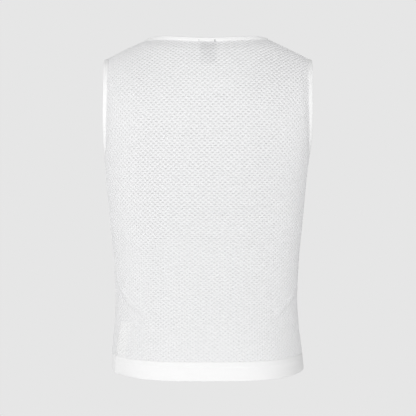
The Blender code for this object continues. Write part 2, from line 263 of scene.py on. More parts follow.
# %% [markdown]
# ## Creases at the waist
#
# Where the waist is drawn in, the net gathers in a few soft diagonal folds near the side
# seams. A cloth simulation would put folds anywhere. These are placed one by one: each is a
# ridge through three points with a trough under it, with its own length and rise.

# %% The crease table and how far a crease lifts the cloth
Crease = namedtuple("Crease", "face side start middle end rise width trough")
CREASES = [
    Crease("back", 1, (143.0, 146.0), (128.0, 121.0), (105.0, 109.0), 3.8, 5.6, 0.45),
    Crease("back", 1, (136.0, 155.0), (126.0, 142.0), (116.0, 135.0), 1.6, 4.6, 0.3),
    Crease("back", -1, (147.0, 133.0), (136.0, 119.0), (122.0, 111.0), 3.6, 5.4, 0.45),
    Crease("back", -1, (141.0, 143.0), (132.0, 135.0), (123.0, 132.0), 1.5, 4.6, 0.3),
    Crease("front", 1, (145.0, 137.0), (132.0, 121.0), (112.0, 108.0), 2.6, 7.0, 0.7),
    Crease("front", -1, (147.0, 140.0), (133.0, 119.0), (115.0, 103.0), 3.0, 6.5, 0.7),
    Crease("front", -1, (140.0, 147.0), (131.0, 139.0), (122.0, 134.0), 1.4, 6.0, 0.6),
]
TROUGH_BELOW = 1.3          # how far below its ridge, in ridge widths


def crease_profile(crease, x, height):
    place = np.stack((np.abs(x), height), -1)
    nearest, offset = np.full(x.shape, np.inf), np.zeros(x.shape)
    for start, end in ((crease.start, crease.middle), (crease.middle, crease.end)):
        start, run = np.array(start), np.subtract(end, start)
        part = np.clip((place - start) @ run / (run @ run), 0, 1)
        away = place - start - part[..., None] * run
        distance = np.linalg.norm(away, axis=-1)
        upward = unit(np.array((-run[1], run[0])) * (1 if run[0] > 0 else -1))
        offset = np.where(distance < nearest, away @ upward, offset)
        nearest = np.minimum(nearest, distance)
    past_end = np.maximum(nearest ** 2 - offset ** 2, 0)
    fade = np.exp(-past_end / crease.width ** 2)
    ridge = np.exp(-(offset / crease.width) ** 2)
    trough = np.exp(-(offset / crease.width + TROUGH_BELOW) ** 2)
    return crease.rise * fade * (ridge - crease.trough * trough)


def crease_lift(face, x, height):
    lift = np.zeros(np.shape(x))
    for crease in CREASES:
        if crease.face == face.name:
            lift += np.where(crease.side * x > 0, crease_profile(crease, x, height), 0)
    return lift


print(len(CREASES), "creases, the deepest", max(c.rise for c in CREASES), "mm")


# %% [markdown]
# ## The strip over the care label
#
# A satin care label is sewn inside the left side, slanting with the seam. It is stiffer
# than the net and holds it flat, so a plane strip with two faint edges shows outside. The
# strip is a lift of the cloth, like a crease, measured in shares of the label's width and
# length. So it follows the label wherever the table below puts it.

# %% Where the labels are, and how the lower one lifts the net
Label = namedtuple("Label", "name top_x top_height foot_x foot_height width")
LABELS = [
    Label("neck_label", 0.0, 564.5, 0.0, 520.0, 27.0),
    Label("care_label", 134.5, 89.0, 146.5, 20.0, 27.0),
]
STRIP_TILT = 3.6            # how much higher its outer edge stands than its inner edge
STRIP_FALL = 0.2            # how soon it falls back past that edge, as a share of the width
STRIP_EDGE = 0.7            # how far each long edge presses through
STRIP_EDGE_WIDTH = 2.0
STRIP_ABOVE = 4.0           # the strip dies out this far above the label
STRIP_TOP = LABELS[1].top_height + STRIP_ABOVE


def smooth_share(value):
    part = np.clip(value, 0, 1)
    return part * part * (3 - 2 * part)


def on_label(label, points):
    """Shares of a label's width, from its inner edge, and of its length, from its top."""
    down = (label.top_height - points[..., 2]) / (label.top_height - label.foot_height)
    middle_x = label.top_x + (label.foot_x - label.top_x) * down
    away = points - on_form(BACK, middle_x, points[..., 2])
    across = np.copysign(np.linalg.norm(away, axis=-1), away[..., 0])
    return across / label.width + 0.5, down


def strip_lift(points):
    """How the care label lifts the net of the back over it."""
    label, height = LABELS[1], points[..., 2]
    part, _ = on_label(label, points)
    falling = smooth_share((1 + STRIP_FALL - part) / STRIP_FALL)
    tilted = STRIP_TILT * np.clip(part, 0, 1) * falling
    edges = STRIP_EDGE * sum(np.exp(-((part - edge) * label.width / STRIP_EDGE_WIDTH) ** 2)
                             for edge in (0.0, 1.0))
    along = smooth_share((label.top_height + STRIP_ABOVE - height) / (2 * STRIP_ABOVE))
    return (tilted + edges) * along


over_edge = strip_lift(on_form(BACK, 146.0, np.array([70.0])))
print("lift over the label's outer edge:", over_edge.round(2), "mm")

# %% [markdown]
# ## Edges drawn in by the bindings
#
# An elastic binding is sewn on slightly stretched. It stands more upright than the net
# round it, and the net dips where the two are sewn together. The dip is a short rule on
# the distance from the finished edge. It fades out at the seams, where the doubled cloth
# is stiffer.

# %% The dip beside every opening
DIP = 3.0                   # depth, at the binding's sewn edge
DIP_RETURN = 24.0           # how far past the binding the net takes to rise again
SEAM_STIFFNESS = 20.0       # how far from a seam the dip is whole


def dip(points, distance):
    whole = np.where(distance < BINDING_WIDTH, distance / BINDING_WIDTH,
                     1 - smooth_share((distance - BINDING_WIDTH) / DIP_RETURN))
    return -DIP * whole * smooth_share(np.abs(points[..., 1]) / SEAM_STIFFNESS)


def edge_distance(face, points):
    """The distance to the nearest finished edge of the neck or an armhole."""
    place = points * np.where(points[..., :1] < 0, (-1, 1, 1), (1, 1, 1))
    nearest = np.full(points.shape[:-1], np.inf)
    for line in (neck_line(face), armhole_line(face)):
        for start, end in zip(line[:-1], line[1:]):
            run = end - start
            part = np.clip((place - start) @ run / (run @ run), 0, 1)
            away = np.linalg.norm(place - start - part[..., None] * run, axis=-1)
            nearest = np.minimum(nearest, away)
    return nearest


def cloth_lift(face, points):
    """How far creases, the label's strip and drawn-in edges lift the cloth."""
    lift = crease_lift(face, points[..., 0], points[..., 2])
    if face is BACK:
        low = (points[..., 2] < STRIP_TOP) & (points[..., 0] > 0)
        lift[low] += strip_lift(points[low])
    near = points[..., 2] > UNDERARM - BINDING_WIDTH - DIP_RETURN
    if near.any():
        close = points[near]
        lift[near] += dip(close, edge_distance(face, close))
    return lift


below_neck = on_form(BACK, np.zeros(1), 560.0)
print("dip below the middle of the neck:", cloth_lift(BACK, below_neck).round(2), "mm")

# %% [markdown]
# ## The knit's pattern on the form
#
# The net's holes stand in level, staggered rows. In the photograph they are 9 mm apart
# along a row, and the rows are 4 mm apart over the shoulders and 3.3 mm at the hem. To
# keep them even on the curved form, each place gets two pattern coordinates, measured
# over the cloth: one counts holes out from the centre, the other counts rows up from
# the hem. A flat print from one side would smear the net at the sides and shoulders.

# %% Count holes across and rows up
HOLE_PITCH = 8.9
RowPitch = namedtuple("RowPitch", "height pitch")
ROW_PITCH = [
    RowPitch(0.0, 3.25),
    RowPitch(150.0, 3.27),
    RowPitch(214.0, 3.37),
    RowPitch(278.0, 3.56),
    RowPitch(360.0, 3.75),
    RowPitch(430.0, 4.0),
    RowPitch(602.0, 4.0),
]
MEASURING_STEPS = 48
CENTRE_STEPS = 400
PATTERN_SPAN = 200.0        # holes or rows to one whole unit of the UV map


def run_length(points):
    return np.linalg.norm(np.diff(points, axis=0), axis=-1)


def holes_across(face, x, height):
    """Holes from the centre, measured round the level section without its turn."""
    half = column(SECTIONS, "half_width", height)
    angle = np.arcsin(np.clip(x / half, -1, 1))
    steps = np.linspace(0, 1, MEASURING_STEPS + 1).reshape(-1, *[1] * np.ndim(x))
    xs = half * np.sin(angle * steps)
    heights = np.broadcast_to(height, xs.shape)
    depth = column(SECTIONS, face.name, heights) * fullness(xs, heights)
    lengths = run_length(np.stack((xs, depth), -1)).sum(0)
    return np.sign(x) * lengths / HOLE_PITCH


def rows_up(face, x, height):
    """Rows from the hem, up the centre to the underarm and then straight up."""
    fine = np.linspace(0, UNDERARM, CENTRE_STEPS)
    centre = on_form(face, 0.0, fine)
    pitch = column(ROW_PITCH, "pitch", (fine[1:] + fine[:-1]) / 2)
    counted = np.concatenate(((0,), np.cumsum(run_length(centre) / pitch)))
    low = np.interp(height, fine, counted)
    steps = np.linspace(0, 1, MEASURING_STEPS + 1).reshape(-1, *[1] * np.ndim(x))
    rise = np.maximum(height - UNDERARM, 0)
    heights = UNDERARM + rise * (1 - (1 - steps) ** 2)
    path = on_form(face, x, heights)
    pitch = column(ROW_PITCH, "pitch", (heights[1:] + heights[:-1]) / 2)
    return low + (run_length(path[..., 1:]) / pitch).sum(0)


counted = rows_up(BACK, np.zeros(1), np.array([560.0]))
print("rows up the centre back:", counted.round().astype(int))

# %% [markdown]
# ## The panels' form sheets
#
# The net needs a smooth surface to be laid on. Each panel gets a helper mesh, fine enough
# for the creases, that reaches a few millimetres under the bindings and the hem band,
# as the real net does inside their folds. It carries the pattern coordinates as a UV map,
# and two attributes: the outward direction, and how far the holes are stretched open,
# which is least at the hem and beside the seams. It is thrown away at the end.

# %% Lay out a panel's points
TUCK = 3.5                  # how far the net goes on under a binding or the band
SHEET_COLUMNS = 132
TORSO_ROWS = 110
YOKE_ROWS = 96
FITTING_ROUNDS = 12         # rounds in which the yoke's columns find both their limits


def panel_edges(face):
    """The net's limits: how far out at each height, and how high at each x."""
    reach = BINDING_WIDTH - TUCK
    side = moved(face, armhole_line(face), reach, ARMHOLE_CENTRE)
    top = moved(face, neck_line(face), reach, NECK_CENTRE)
    order = np.argsort(side[:, 2])
    return side[order], top


def panel_points(face):
    side, top = panel_edges(face)
    foot = UNDERARM - (BINDING_WIDTH - TUCK)
    share = np.sin(np.linspace(-math.pi / 2, math.pi / 2, SHEET_COLUMNS + 1))
    bottom = HEM_SIDE - TUCK
    torso_height = np.linspace(bottom, foot, TORSO_ROWS + 1)[:, None]
    torso = on_form(face, share * column(SECTIONS, "half_width", torso_height), torso_height)
    up = (1 - (1 - np.linspace(0, 1, YOKE_ROWS + 1)[1:, None]) ** 2)
    first_guess = share * UNDERARM / 2
    x = np.broadcast_to(first_guess, (YOKE_ROWS, len(share)))
    for _ in range(FITTING_ROUNDS):
        ceiling = np.where(np.abs(x) < top[-1, 0],
                           np.interp(np.abs(x), top[:, 0], top[:, 2]), shoulder_line(x))
        height = foot + (ceiling - foot) * up
        x = share * np.interp(height, side[:, 2], side[:, 0])
    yoke = on_form(face, x, height)
    return np.concatenate((torso, yoke))


sheet_points = {face.name: panel_points(face) for face in (BACK, FRONT)}
for name, points in sheet_points.items():
    print(name, "form sheet:", points.shape[0], "rows of", points.shape[1])


# %% Turn the points into helper meshes
def grid_mesh(name, points, uv):
    """A mesh over rows of points, with a pattern coordinate for each point."""
    rows, columns = points.shape[:2]
    index = np.arange(rows * columns).reshape(rows, columns)
    quads = np.stack((index[:-1, :-1], index[:-1, 1:], index[1:, 1:], index[1:, :-1]), -1)
    mesh = bpy.data.meshes.new(name)
    mesh.from_pydata(points.reshape(-1, 3).tolist(), [], quads.reshape(-1, 4).tolist())
    layer = mesh.uv_layers.new(name="knit")
    layer.data.foreach_set("uv", uv.reshape(-1, 2)[quads.reshape(-1)].ravel())
    return mesh


def link(name, mesh, material=None):
    thing = bpy.data.objects.new(name, mesh)
    bpy.context.scene.collection.objects.link(thing)
    if material:
        mesh.materials.append(material)
    return thing


print("mesh helpers ready")


# %% How far the holes are open, and the sheets themselves
Openness = namedtuple("Openness", "height share")
OPENNESS = [                # 1.0 is a hole of the cell's full size
    Openness(0.0, 0.24),
    Openness(55.0, 0.30),
    Openness(105.0, 0.50),
    Openness(190.0, 0.62),
    Openness(270.0, 0.71),
    Openness(350.0, 0.72),
    Openness(430.0, 0.71),
    Openness(602.0, 0.70),
]
OPEN_BY_SHOULDER = 0.42     # what is left of it on the shoulder seams
SHOULDER_REACH = 48.0
OPEN_BY_SIDE = 0.5          # and on the side seams
SIDE_FROM, SIDE_TO = 0.5, 0.9       # as shares of the half width


def openness(x, height):
    below = smooth_share((shoulder_line(x) - height) / SHOULDER_REACH)
    by_seam = OPEN_BY_SHOULDER + (1 - OPEN_BY_SHOULDER) * below
    across = np.abs(x) / column(SECTIONS, "half_width", height)
    beside = smooth_share((across - SIDE_FROM) / (SIDE_TO - SIDE_FROM))
    by_side = 1 - (1 - OPEN_BY_SIDE) * beside
    return column(OPENNESS, "share", height) * by_seam * by_side


def form_sheet(face):
    points = sheet_points[face.name]
    x, height = points[..., 0], points[..., 2]
    pattern = np.stack((holes_across(face, x, height), rows_up(face, x, height)), -1)
    normals = outward(face, points)
    lifted = points + normals * cloth_lift(face, points)[..., None]
    lifted[..., 1] += face.side * SEAM_GAP / 2
    mesh = grid_mesh(face.name + "_form", to_model(lifted), pattern / PATTERN_SPAN)
    stored = mesh.attributes.new("outward", "FLOAT_VECTOR", "POINT")
    stored.data.foreach_set("vector", normals.reshape(-1))
    stored = mesh.attributes.new("open", "FLOAT", "POINT")
    stored.data.foreach_set("value", openness(x, height).ravel())
    return link(face.name + "_form", mesh), pattern


forms, patterns = {}, {}
for face in (BACK, FRONT):
    forms[face.name], patterns[face.name] = form_sheet(face)
    print(face.name, "holes across and rows up:", patterns[face.name].max((0, 1)).round(1))

# %% [markdown]
# ## Materials
#
# Nearly everything here is white polyester, so the pieces differ in how they are knitted
# more than in colour. One node group makes the loops of a knit: rows of little arches whose
# size is given in millimetres, read from each piece's own UV map so that they follow the
# cloth. Image textures would need a picture; the group works at any size. It also darkens
# each cloth's colour in the gaps between loops, which is painted shade, and clouds it at
# random, which is real tone.


# %% The shared knit and woven effects
def new_group(name, inputs, outputs):
    tree = bpy.data.node_groups.new(name, "ShaderNodeTree")
    for title, kind, value in inputs:
        socket = tree.interface.new_socket(title, in_out="INPUT", socket_type=kind)
        if value is not None:
            socket.default_value = value
    for title in outputs:
        tree.interface.new_socket(title, in_out="OUTPUT", socket_type="NodeSocketFloat")
    return tree, tree.nodes.new("NodeGroupInput"), tree.nodes.new("NodeGroupOutput")


def maths(tree, operation, first, second=None):
    node = tree.nodes.new("ShaderNodeMath")
    node.operation = operation
    for socket, value in zip(node.inputs, (first, second)):
        if value is None:
            continue
        if isinstance(value, (int, float)):
            socket.default_value = value
        else:
            tree.links.new(value, socket)
    return node.outputs[0]


KNIT_UNEVENNESS = 0.3       # how cloudy the cloth is
LOOP_LEAN = 0.35            # how far a loop's sides lean, in courses
WALE_SHARE = 0.6            # of a loop's height, and its arch has the rest
CLOUD_SCALE = 0.35
CLOUD_DETAIL = 3.0


def knit_group():
    """Loops of yarn: rounded wales along V, crossed by arches once in each course."""
    tree, given, out = new_group("knit_loops", [
        ("Place", "NodeSocketVector", None), ("Wale", "NodeSocketFloat", 1.0),
        ("Course", "NodeSocketFloat", 0.8),
        ("Unevenness", "NodeSocketFloat", KNIT_UNEVENNESS),
    ], ["Height", "Shade"])
    apart = tree.nodes.new("ShaderNodeSeparateXYZ")
    tree.links.new(given.outputs["Place"], apart.inputs[0])
    across = maths(tree, "DIVIDE", apart.outputs[0], given.outputs["Wale"])
    up = maths(tree, "DIVIDE", apart.outputs[1], given.outputs["Course"])
    wave = maths(tree, "COSINE", maths(tree, "MULTIPLY", across, 2 * math.pi))
    lean = maths(tree, "MULTIPLY", maths(tree, "ABSOLUTE", wave), LOOP_LEAN)
    arch = maths(tree, "SINE", maths(tree, "MULTIPLY", maths(tree, "ADD", up, lean),
                                     2 * math.pi))
    wale = maths(tree, "MULTIPLY", maths(tree, "ABSOLUTE", wave), WALE_SHARE)
    loops = maths(tree, "ADD", wale, maths(tree, "MULTIPLY", arch, 1 - WALE_SHARE))
    noise = tree.nodes.new("ShaderNodeTexNoise")
    noise.inputs["Scale"].default_value = CLOUD_SCALE
    noise.inputs["Detail"].default_value = CLOUD_DETAIL
    tree.links.new(given.outputs["Place"], noise.inputs["Vector"])
    uneven = maths(tree, "MULTIPLY", maths(tree, "SUBTRACT", noise.outputs[0], 0.5),
                   given.outputs["Unevenness"])
    tree.links.new(maths(tree, "ADD", loops, uneven), out.inputs["Height"])
    # Shade: painted shade in the gaps between loops, plus a random cloudy tone
    shade = maths(tree, "ADD", maths(tree, "MULTIPLY", loops, 0.5),
                  maths(tree, "ADD", uneven, 0.5))
    tree.links.new(shade, out.inputs["Shade"])
    return tree


KNIT = knit_group()
print("knit group:", len(KNIT.nodes), "nodes")


# %% Cloth materials
SHEEN = 0.2                 # specular level of every cloth
RELIEF_STRENGTH = 0.5


def cloth(name, light, gap_shade_and_cloud, roughness, wale, course, relief, through=0.0):
    """Cloth with painted shade in the gaps between its loops, and a random cloudy tone.

    A wale, a course and the relief are in millimetres, and through is the share of the
    light that passes the cloth.
    """
    material = bpy.data.materials.new(name)
    material.use_nodes = True
    tree = material.node_tree
    shader = tree.nodes["Principled BSDF"]
    shader.inputs["Roughness"].default_value = roughness
    shader.inputs["Specular IOR Level"].default_value = SHEEN
    place = tree.nodes.new("ShaderNodeUVMap")
    place.uv_map = "knit"
    knit = tree.nodes.new("ShaderNodeGroup")
    knit.node_tree = KNIT
    knit.inputs["Wale"].default_value = wale
    knit.inputs["Course"].default_value = course
    tree.links.new(place.outputs[0], knit.inputs["Place"])
    # the mix paints shade into the loops' gaps and clouds the colour at random
    mix = tree.nodes.new("ShaderNodeMix")
    mix.data_type = "RGBA"
    mix.inputs["A"].default_value = (*gap_shade_and_cloud, 1.0)
    mix.inputs["B"].default_value = (*light, 1.0)
    tree.links.new(knit.outputs["Shade"], mix.inputs["Factor"])
    tree.links.new(mix.outputs["Result"], shader.inputs["Base Color"])
    bump = tree.nodes.new("ShaderNodeBump")
    bump.inputs["Strength"].default_value = RELIEF_STRENGTH
    bump.inputs["Distance"].default_value = relief / 1000
    tree.links.new(knit.outputs["Height"], bump.inputs["Height"])
    tree.links.new(bump.outputs["Normal"], shader.inputs["Normal"])
    if through:
        glow = tree.nodes.new("ShaderNodeBsdfTranslucent")
        tree.links.new(mix.outputs["Result"], glow.inputs["Color"])
        both = tree.nodes.new("ShaderNodeMixShader")
        both.inputs[0].default_value = through
        tree.links.new(shader.outputs[0], both.inputs[1])
        tree.links.new(glow.outputs[0], both.inputs[2])
        tree.links.new(both.outputs[0], tree.nodes["Material Output"].inputs["Surface"])
    return material


print("cloth helper ready")

# %% Each piece's finish
net_cloth = cloth(
    "white_net_knit", light=(0.955, 0.955, 0.96), gap_shade_and_cloud=(0.90, 0.90, 0.905),
    roughness=0.8, wale=0.9, course=0.75, relief=0.12, through=0.36)
# painted light: the net over the care label is whiter and more see-through, standing in for
# the light the satin sends back through it
net_painted_light_over_tape = cloth(
    "white_net_on_tape", light=(1.0, 1.0, 1.0), gap_shade_and_cloud=(0.98, 0.98, 0.98),
    roughness=0.8, wale=0.9, course=0.75, relief=0.08, through=0.42)
binding_cloth = cloth(
    "white_elastic_binding", light=(0.98, 0.98, 0.98), gap_shade_and_cloud=(0.93, 0.93, 0.93),
    roughness=0.7, wale=0.8, course=0.6, relief=0.10, through=0.15)
hem_cloth = cloth(
    "white_hem_knit", light=(0.94, 0.94, 0.94), gap_shade_and_cloud=(0.89, 0.89, 0.89),
    roughness=0.75, wale=0.9, course=0.7, relief=0.10, through=0.12)
grey_tape = cloth(
    "grey_woven_tape", light=(0.86, 0.86, 0.87), gap_shade_and_cloud=(0.76, 0.76, 0.77),
    roughness=0.6, wale=0.5, course=0.5, relief=0.06)
satin_tape = cloth(
    "white_satin_tape", light=(0.98, 0.98, 0.98), gap_shade_and_cloud=(0.93, 0.93, 0.93),
    roughness=0.35, wale=0.35, course=1.4, relief=0.03, through=0.5)
white_thread = cloth(
    "white_thread", light=(0.98, 0.98, 0.98), gap_shade_and_cloud=(0.92, 0.92, 0.92),
    roughness=0.6, wale=0.3, course=0.5, relief=0.05)
grey_thread = cloth(
    "grey_thread", light=(0.30, 0.30, 0.31), gap_shade_and_cloud=(0.18, 0.18, 0.19),
    roughness=0.6, wale=0.3, course=0.5, relief=0.05)
print(len(bpy.data.materials), "materials with the carried-over ones")

# %% [markdown]
# ## The net panels
#
# Knitted net is yarn round open holes. Cutting thousands of holes in a panel one by one
# would take minutes, and a see-through pattern painted on a plain sheet looks flat from
# near. Geometry Nodes make it in seconds: one six-sided cell with a hole, rounded down
# into it, is set at every staggered place, and the whole lattice is then laid on the form
# sheet by its pattern coordinates. Holes differ a little in size, as real ones do.

# %% One cell of the net
CELL_TOP = 0.06             # half of a cell's level edge, as a share of the pitch along a row
HOLE_ACROSS = 0.45          # half of a hole, as a share of the pitch along a row
HOLE_UP = 0.125             # and of the pitch between rows
HOLE_CORNER = 0.78          # how far out a hole's upper corners stand, as a share of that
RIM_DEPTH = 0.22            # of the hole's rim, in millimetres below the outer face
WALL_DEPTH = 0.8            # of the foot of the wall inside the hole


def hexagon(across, corner, up, depth):
    return [(across, 0, depth), (corner, up, depth), (-corner, up, depth),
            (-across, 0, depth), (-corner, -up, depth), (corner, -up, depth)]


def net_cell():
    rings = [hexagon(0.5 - CELL_TOP, CELL_TOP, 1.0, 0.0),
             hexagon(HOLE_ACROSS, HOLE_ACROSS * HOLE_CORNER, HOLE_UP, -RIM_DEPTH),
             hexagon(HOLE_ACROSS, HOLE_ACROSS * HOLE_CORNER, HOLE_UP, -WALL_DEPTH)]
    sides = len(rings[0])
    faces = [(ring * sides + side, ring * sides + (side + 1) % sides,
              (ring + 1) * sides + (side + 1) % sides, (ring + 1) * sides + side)
             for ring in range(len(rings) - 1) for side in range(sides)]
    mesh = bpy.data.meshes.new("net_cell")
    mesh.from_pydata([p for ring in rings for p in ring], [], faces)
    rim = mesh.attributes.new("rim", "FLOAT", "POINT")
    rim.data.foreach_set("value", [float(ring > 0) for ring in range(len(rings))
                                   for _ in range(sides)])
    return link("net_cell", mesh)


cell = net_cell()
print("a cell has", len(cell.data.polygons) * 2, "triangles")


# %% Helpers that keep node trees short
class Tree:
    """A Geometry Nodes tree under construction."""

    def __init__(self, name, inputs):
        self.tree = bpy.data.node_groups.new(name, "GeometryNodeTree")
        self.tree.is_modifier = True
        face = self.tree.interface
        face.new_socket("Geometry", in_out="INPUT", socket_type="NodeSocketGeometry")
        for title, kind in inputs:
            face.new_socket(title, in_out="INPUT", socket_type="NodeSocket" + kind)
        face.new_socket("Geometry", in_out="OUTPUT", socket_type="NodeSocketGeometry")
        self.given = self.tree.nodes.new("NodeGroupInput")
        self.out = self.tree.nodes.new("NodeGroupOutput")

    def add(self, kind, *values, **settings):
        """A node with its settings, its inputs filled from values or from sockets."""
        node = self.tree.nodes.new(kind)
        for name, value in settings.items():
            setattr(node, name, value)
        sockets = [socket for socket in node.inputs if socket.enabled]
        for socket, value in zip(sockets, values):
            if value is None:
                continue
            if isinstance(value, bpy.types.NodeSocket):
                self.tree.links.new(value, socket)
            else:
                socket.default_value = value
        return next(socket for socket in node.outputs if socket.enabled)

    def input(self, name):
        return self.given.outputs[name]

    def named(self, name, kind="FLOAT"):
        return self.add("GeometryNodeInputNamedAttribute", name, data_type=kind)

    def store(self, geometry, name, value, kind="FLOAT", domain="POINT"):
        return self.add("GeometryNodeStoreNamedAttribute", geometry, None, name, value,
                        data_type=kind, domain=domain)

    def vector(self, operation, *values):
        return self.add("ShaderNodeVectorMath", *values, operation=operation)

    def maths(self, operation, *values):
        return self.add("ShaderNodeMath", *values, operation=operation)

    def scaled(self, vector, factor):
        node = self.tree.nodes.new("ShaderNodeVectorMath")
        node.operation = "SCALE"
        self.tree.links.new(vector, node.inputs["Vector"])
        if isinstance(factor, bpy.types.NodeSocket):
            self.tree.links.new(factor, node.inputs["Scale"])
        else:
            node.inputs["Scale"].default_value = factor
        return node.outputs[0]

    def shape_of(self, name):
        """The mesh of the object that an input names."""
        node = self.tree.nodes.new("GeometryNodeObjectInfo")
        self.tree.links.new(self.input(name), node.inputs["Object"])
        return node.outputs["Geometry"]

    def finish(self, geometry):
        """Real geometry with a material, with every instance made real."""
        real = self.add("GeometryNodeRealizeInstances", geometry)
        painted = self.add("GeometryNodeSetMaterial", real, None, self.input("Material"))
        self.tree.links.new(painted, self.out.inputs[0])
        return self.tree


def baked(name, start, tree, **values):
    """Run a tree on an object with named inputs, and keep the result as a plain mesh."""
    modifier = start.modifiers.new("tree", "NODES")
    modifier.node_group = tree
    for item in tree.interface.items_tree:
        key = item.name.replace(" ", "_").lower()
        if item.in_out == "INPUT" and key in values:
            modifier[item.identifier] = values[key]
    view = bpy.context.evaluated_depsgraph_get()
    mesh = bpy.data.meshes.new_from_object(start.evaluated_get(view))
    bpy.data.objects.remove(start)
    mesh.name = name
    made = link(name, mesh)
    triangles = sum(len(face.vertices) - 2 for face in mesh.polygons)
    print(f"{name}: {triangles} triangles")
    return made


print("tree helpers ready")


# %% The tree that lays the net
METRES = 0.001              # in a millimetre
MERGED_WITHIN = 0.01        # of a pitch: neighbouring cells become one net


def net_tree():
    t = Tree("net_lattice", [
        ("Form", "Object"), ("Cell", "Object"), ("Columns", "Int"), ("Rows", "Int"),
        ("Unevenness", "Float"), ("Seed", "Int"), ("Hole Pitch", "Float"),
        ("Row Pitch", "Float"), ("Material", "Material")])
    columns, rows = t.input("Columns"), t.input("Rows")
    last_row = t.maths("SUBTRACT", rows, 1.0)
    grid = t.add("GeometryNodeMeshGrid", t.maths("SUBTRACT", columns, 1.0), last_row,
                 columns, rows)
    place = t.add("GeometryNodeInputPosition")
    split = t.tree.nodes.new("ShaderNodeSeparateXYZ")
    t.tree.links.new(place, split.inputs[0])
    half_rows = t.maths("DIVIDE", last_row, 2.0)
    row = t.maths("ROUND", t.maths("ADD", split.outputs[1], half_rows))
    stagger = t.maths("MULTIPLY", t.maths("MODULO", row, 2.0), 0.5)
    shift = t.add("ShaderNodeCombineXYZ", stagger, half_rows, 0.0)
    points = t.add("GeometryNodeSetPosition", grid, None, None, shift)
    jitter = t.tree.nodes.new("FunctionNodeRandomValue")
    jitter.data_type = "FLOAT"
    t.tree.links.new(t.maths("SUBTRACT", 1.0, t.input("Unevenness")), jitter.inputs[2])
    t.tree.links.new(t.maths("ADD", 1.0, t.input("Unevenness")), jitter.inputs[3])
    t.tree.links.new(t.input("Seed"), jitter.inputs["Seed"])
    surface = t.shape_of("Form")
    uv = t.named("knit", "FLOAT_VECTOR")
    wanted = t.scaled(place, 1 / PATTERN_SPAN)
    stretch = t.add("GeometryNodeSampleUVSurface", surface, t.named("open"), uv, wanted,
                    data_type="FLOAT")
    points = t.store(points, "hole", t.maths("MULTIPLY", stretch, jitter.outputs[1]))
    points = t.store(points, "centre", place, "FLOAT_VECTOR")
    lattice = t.add("GeometryNodeInstanceOnPoints", points, None, t.shape_of("Cell"))
    lattice = t.add("GeometryNodeRealizeInstances", lattice)
    # a hole's points move towards their cell's centre, and the cell's own edge stays
    factor = t.maths("ADD", 1.0, t.maths("MULTIPLY", t.named("rim"),
                                         t.maths("SUBTRACT", t.named("hole"), 1.0)))
    centre = t.named("centre", "FLOAT_VECTOR")
    drawn = t.vector("ADD", centre, t.vector(
        "MULTIPLY", t.vector("SUBTRACT", place, centre),
        t.add("ShaderNodeCombineXYZ", factor, factor, 1.0)))
    lattice = t.add("GeometryNodeSetPosition", lattice, None, drawn)
    lattice = t.add("GeometryNodeMergeByDistance", lattice, None, MERGED_WITHIN)
    flat = t.vector("MULTIPLY", place, t.add("ShaderNodeCombineXYZ", t.input("Hole Pitch"),
                                             t.input("Row Pitch"), 0.0))
    lattice = t.store(lattice, "knit", flat, "FLOAT2", "CORNER")
    spot = t.add("GeometryNodeSampleUVSurface", surface, place, uv, wanted,
                 data_type="FLOAT_VECTOR")
    out = t.add("GeometryNodeSampleUVSurface", surface,
                t.named("outward", "FLOAT_VECTOR"), uv, wanted, data_type="FLOAT_VECTOR")
    depth = t.add("ShaderNodeSeparateXYZ", place).node.outputs[2]
    target = t.vector("ADD", spot, t.scaled(out, t.maths("MULTIPLY", depth, METRES)))
    lattice = t.store(lattice, "laid", target, "FLOAT_VECTOR")
    missed = t.add("FunctionNodeBooleanMath", spot.node.outputs["Is Valid"],
                   operation="NOT")
    lattice = t.add("GeometryNodeDeleteGeometry", lattice, missed)
    lattice = t.add("GeometryNodeSetPosition", lattice, None,
                    t.named("laid", "FLOAT_VECTOR"))
    lattice = t.add("GeometryNodeSetShadeSmooth", lattice)
    both = t.tree.nodes.new("GeometryNodeJoinGeometry")
    t.tree.links.new(t.given.outputs["Geometry"], both.inputs[0])
    t.tree.links.new(lattice, both.inputs[0])
    return t.finish(both.outputs[0])


NET_TREE = net_tree()
print("net tree:", len(NET_TREE.nodes), "nodes")

# %% [markdown]
# ## Panel edges
#
# Along the sides and shoulders the net is turned and stitched flat, so there it is double
# and has no open holes. A narrow ribbon on each panel's edge shows that. Rows of points
# become a mesh through one helper, which every band, binding and tape here uses too. It
# writes a UV map in millimetres, along the piece and round it.


# %% Skin rows of points
SHARP_FROM = math.radians(60)       # edges that turn more than this stay sharp


def skin(name, rings, material=None, closed_along=False):
    """A smooth mesh over rings of points in the form's millimetres."""
    rings = np.asarray(rings)
    along = np.linalg.norm(np.diff(np.concatenate((rings, rings[:1])).mean(1), axis=0),
                           axis=-1)
    loop = np.concatenate((rings, rings[:, :1]), 1)
    around = np.linalg.norm(np.diff(loop, axis=1), axis=-1).mean(0)
    along = np.concatenate(((0,), np.cumsum(along)))
    around = np.concatenate(((0,), np.cumsum(around)))
    count, sides = rings.shape[:2]
    shape = bmesh.new()
    layer = shape.loops.layers.uv.new("knit")
    verts = [[shape.verts.new(p) for p in ring] for ring in to_model(rings).tolist()]
    for r in range(count if closed_along else count - 1):
        for s in range(sides):
            corners = ((r, s), (r, s + 1), (r + 1, s + 1), (r + 1, s))
            face = shape.faces.new([verts[a % count][b % sides] for a, b in corners])
            for corner, (a, b) in zip(face.loops, corners):
                corner[layer].uv = (around[b], along[a])
    if not closed_along:
        for ring in (verts[0], verts[-1]):
            shape.faces.new(ring)
    bmesh.ops.recalc_face_normals(shape, faces=shape.faces)
    mesh = bpy.data.meshes.new(name)
    shape.to_mesh(mesh)
    shape.free()
    mesh.shade_smooth()
    mesh.set_sharp_from_angle(angle=SHARP_FROM)
    return link(name, mesh, material)


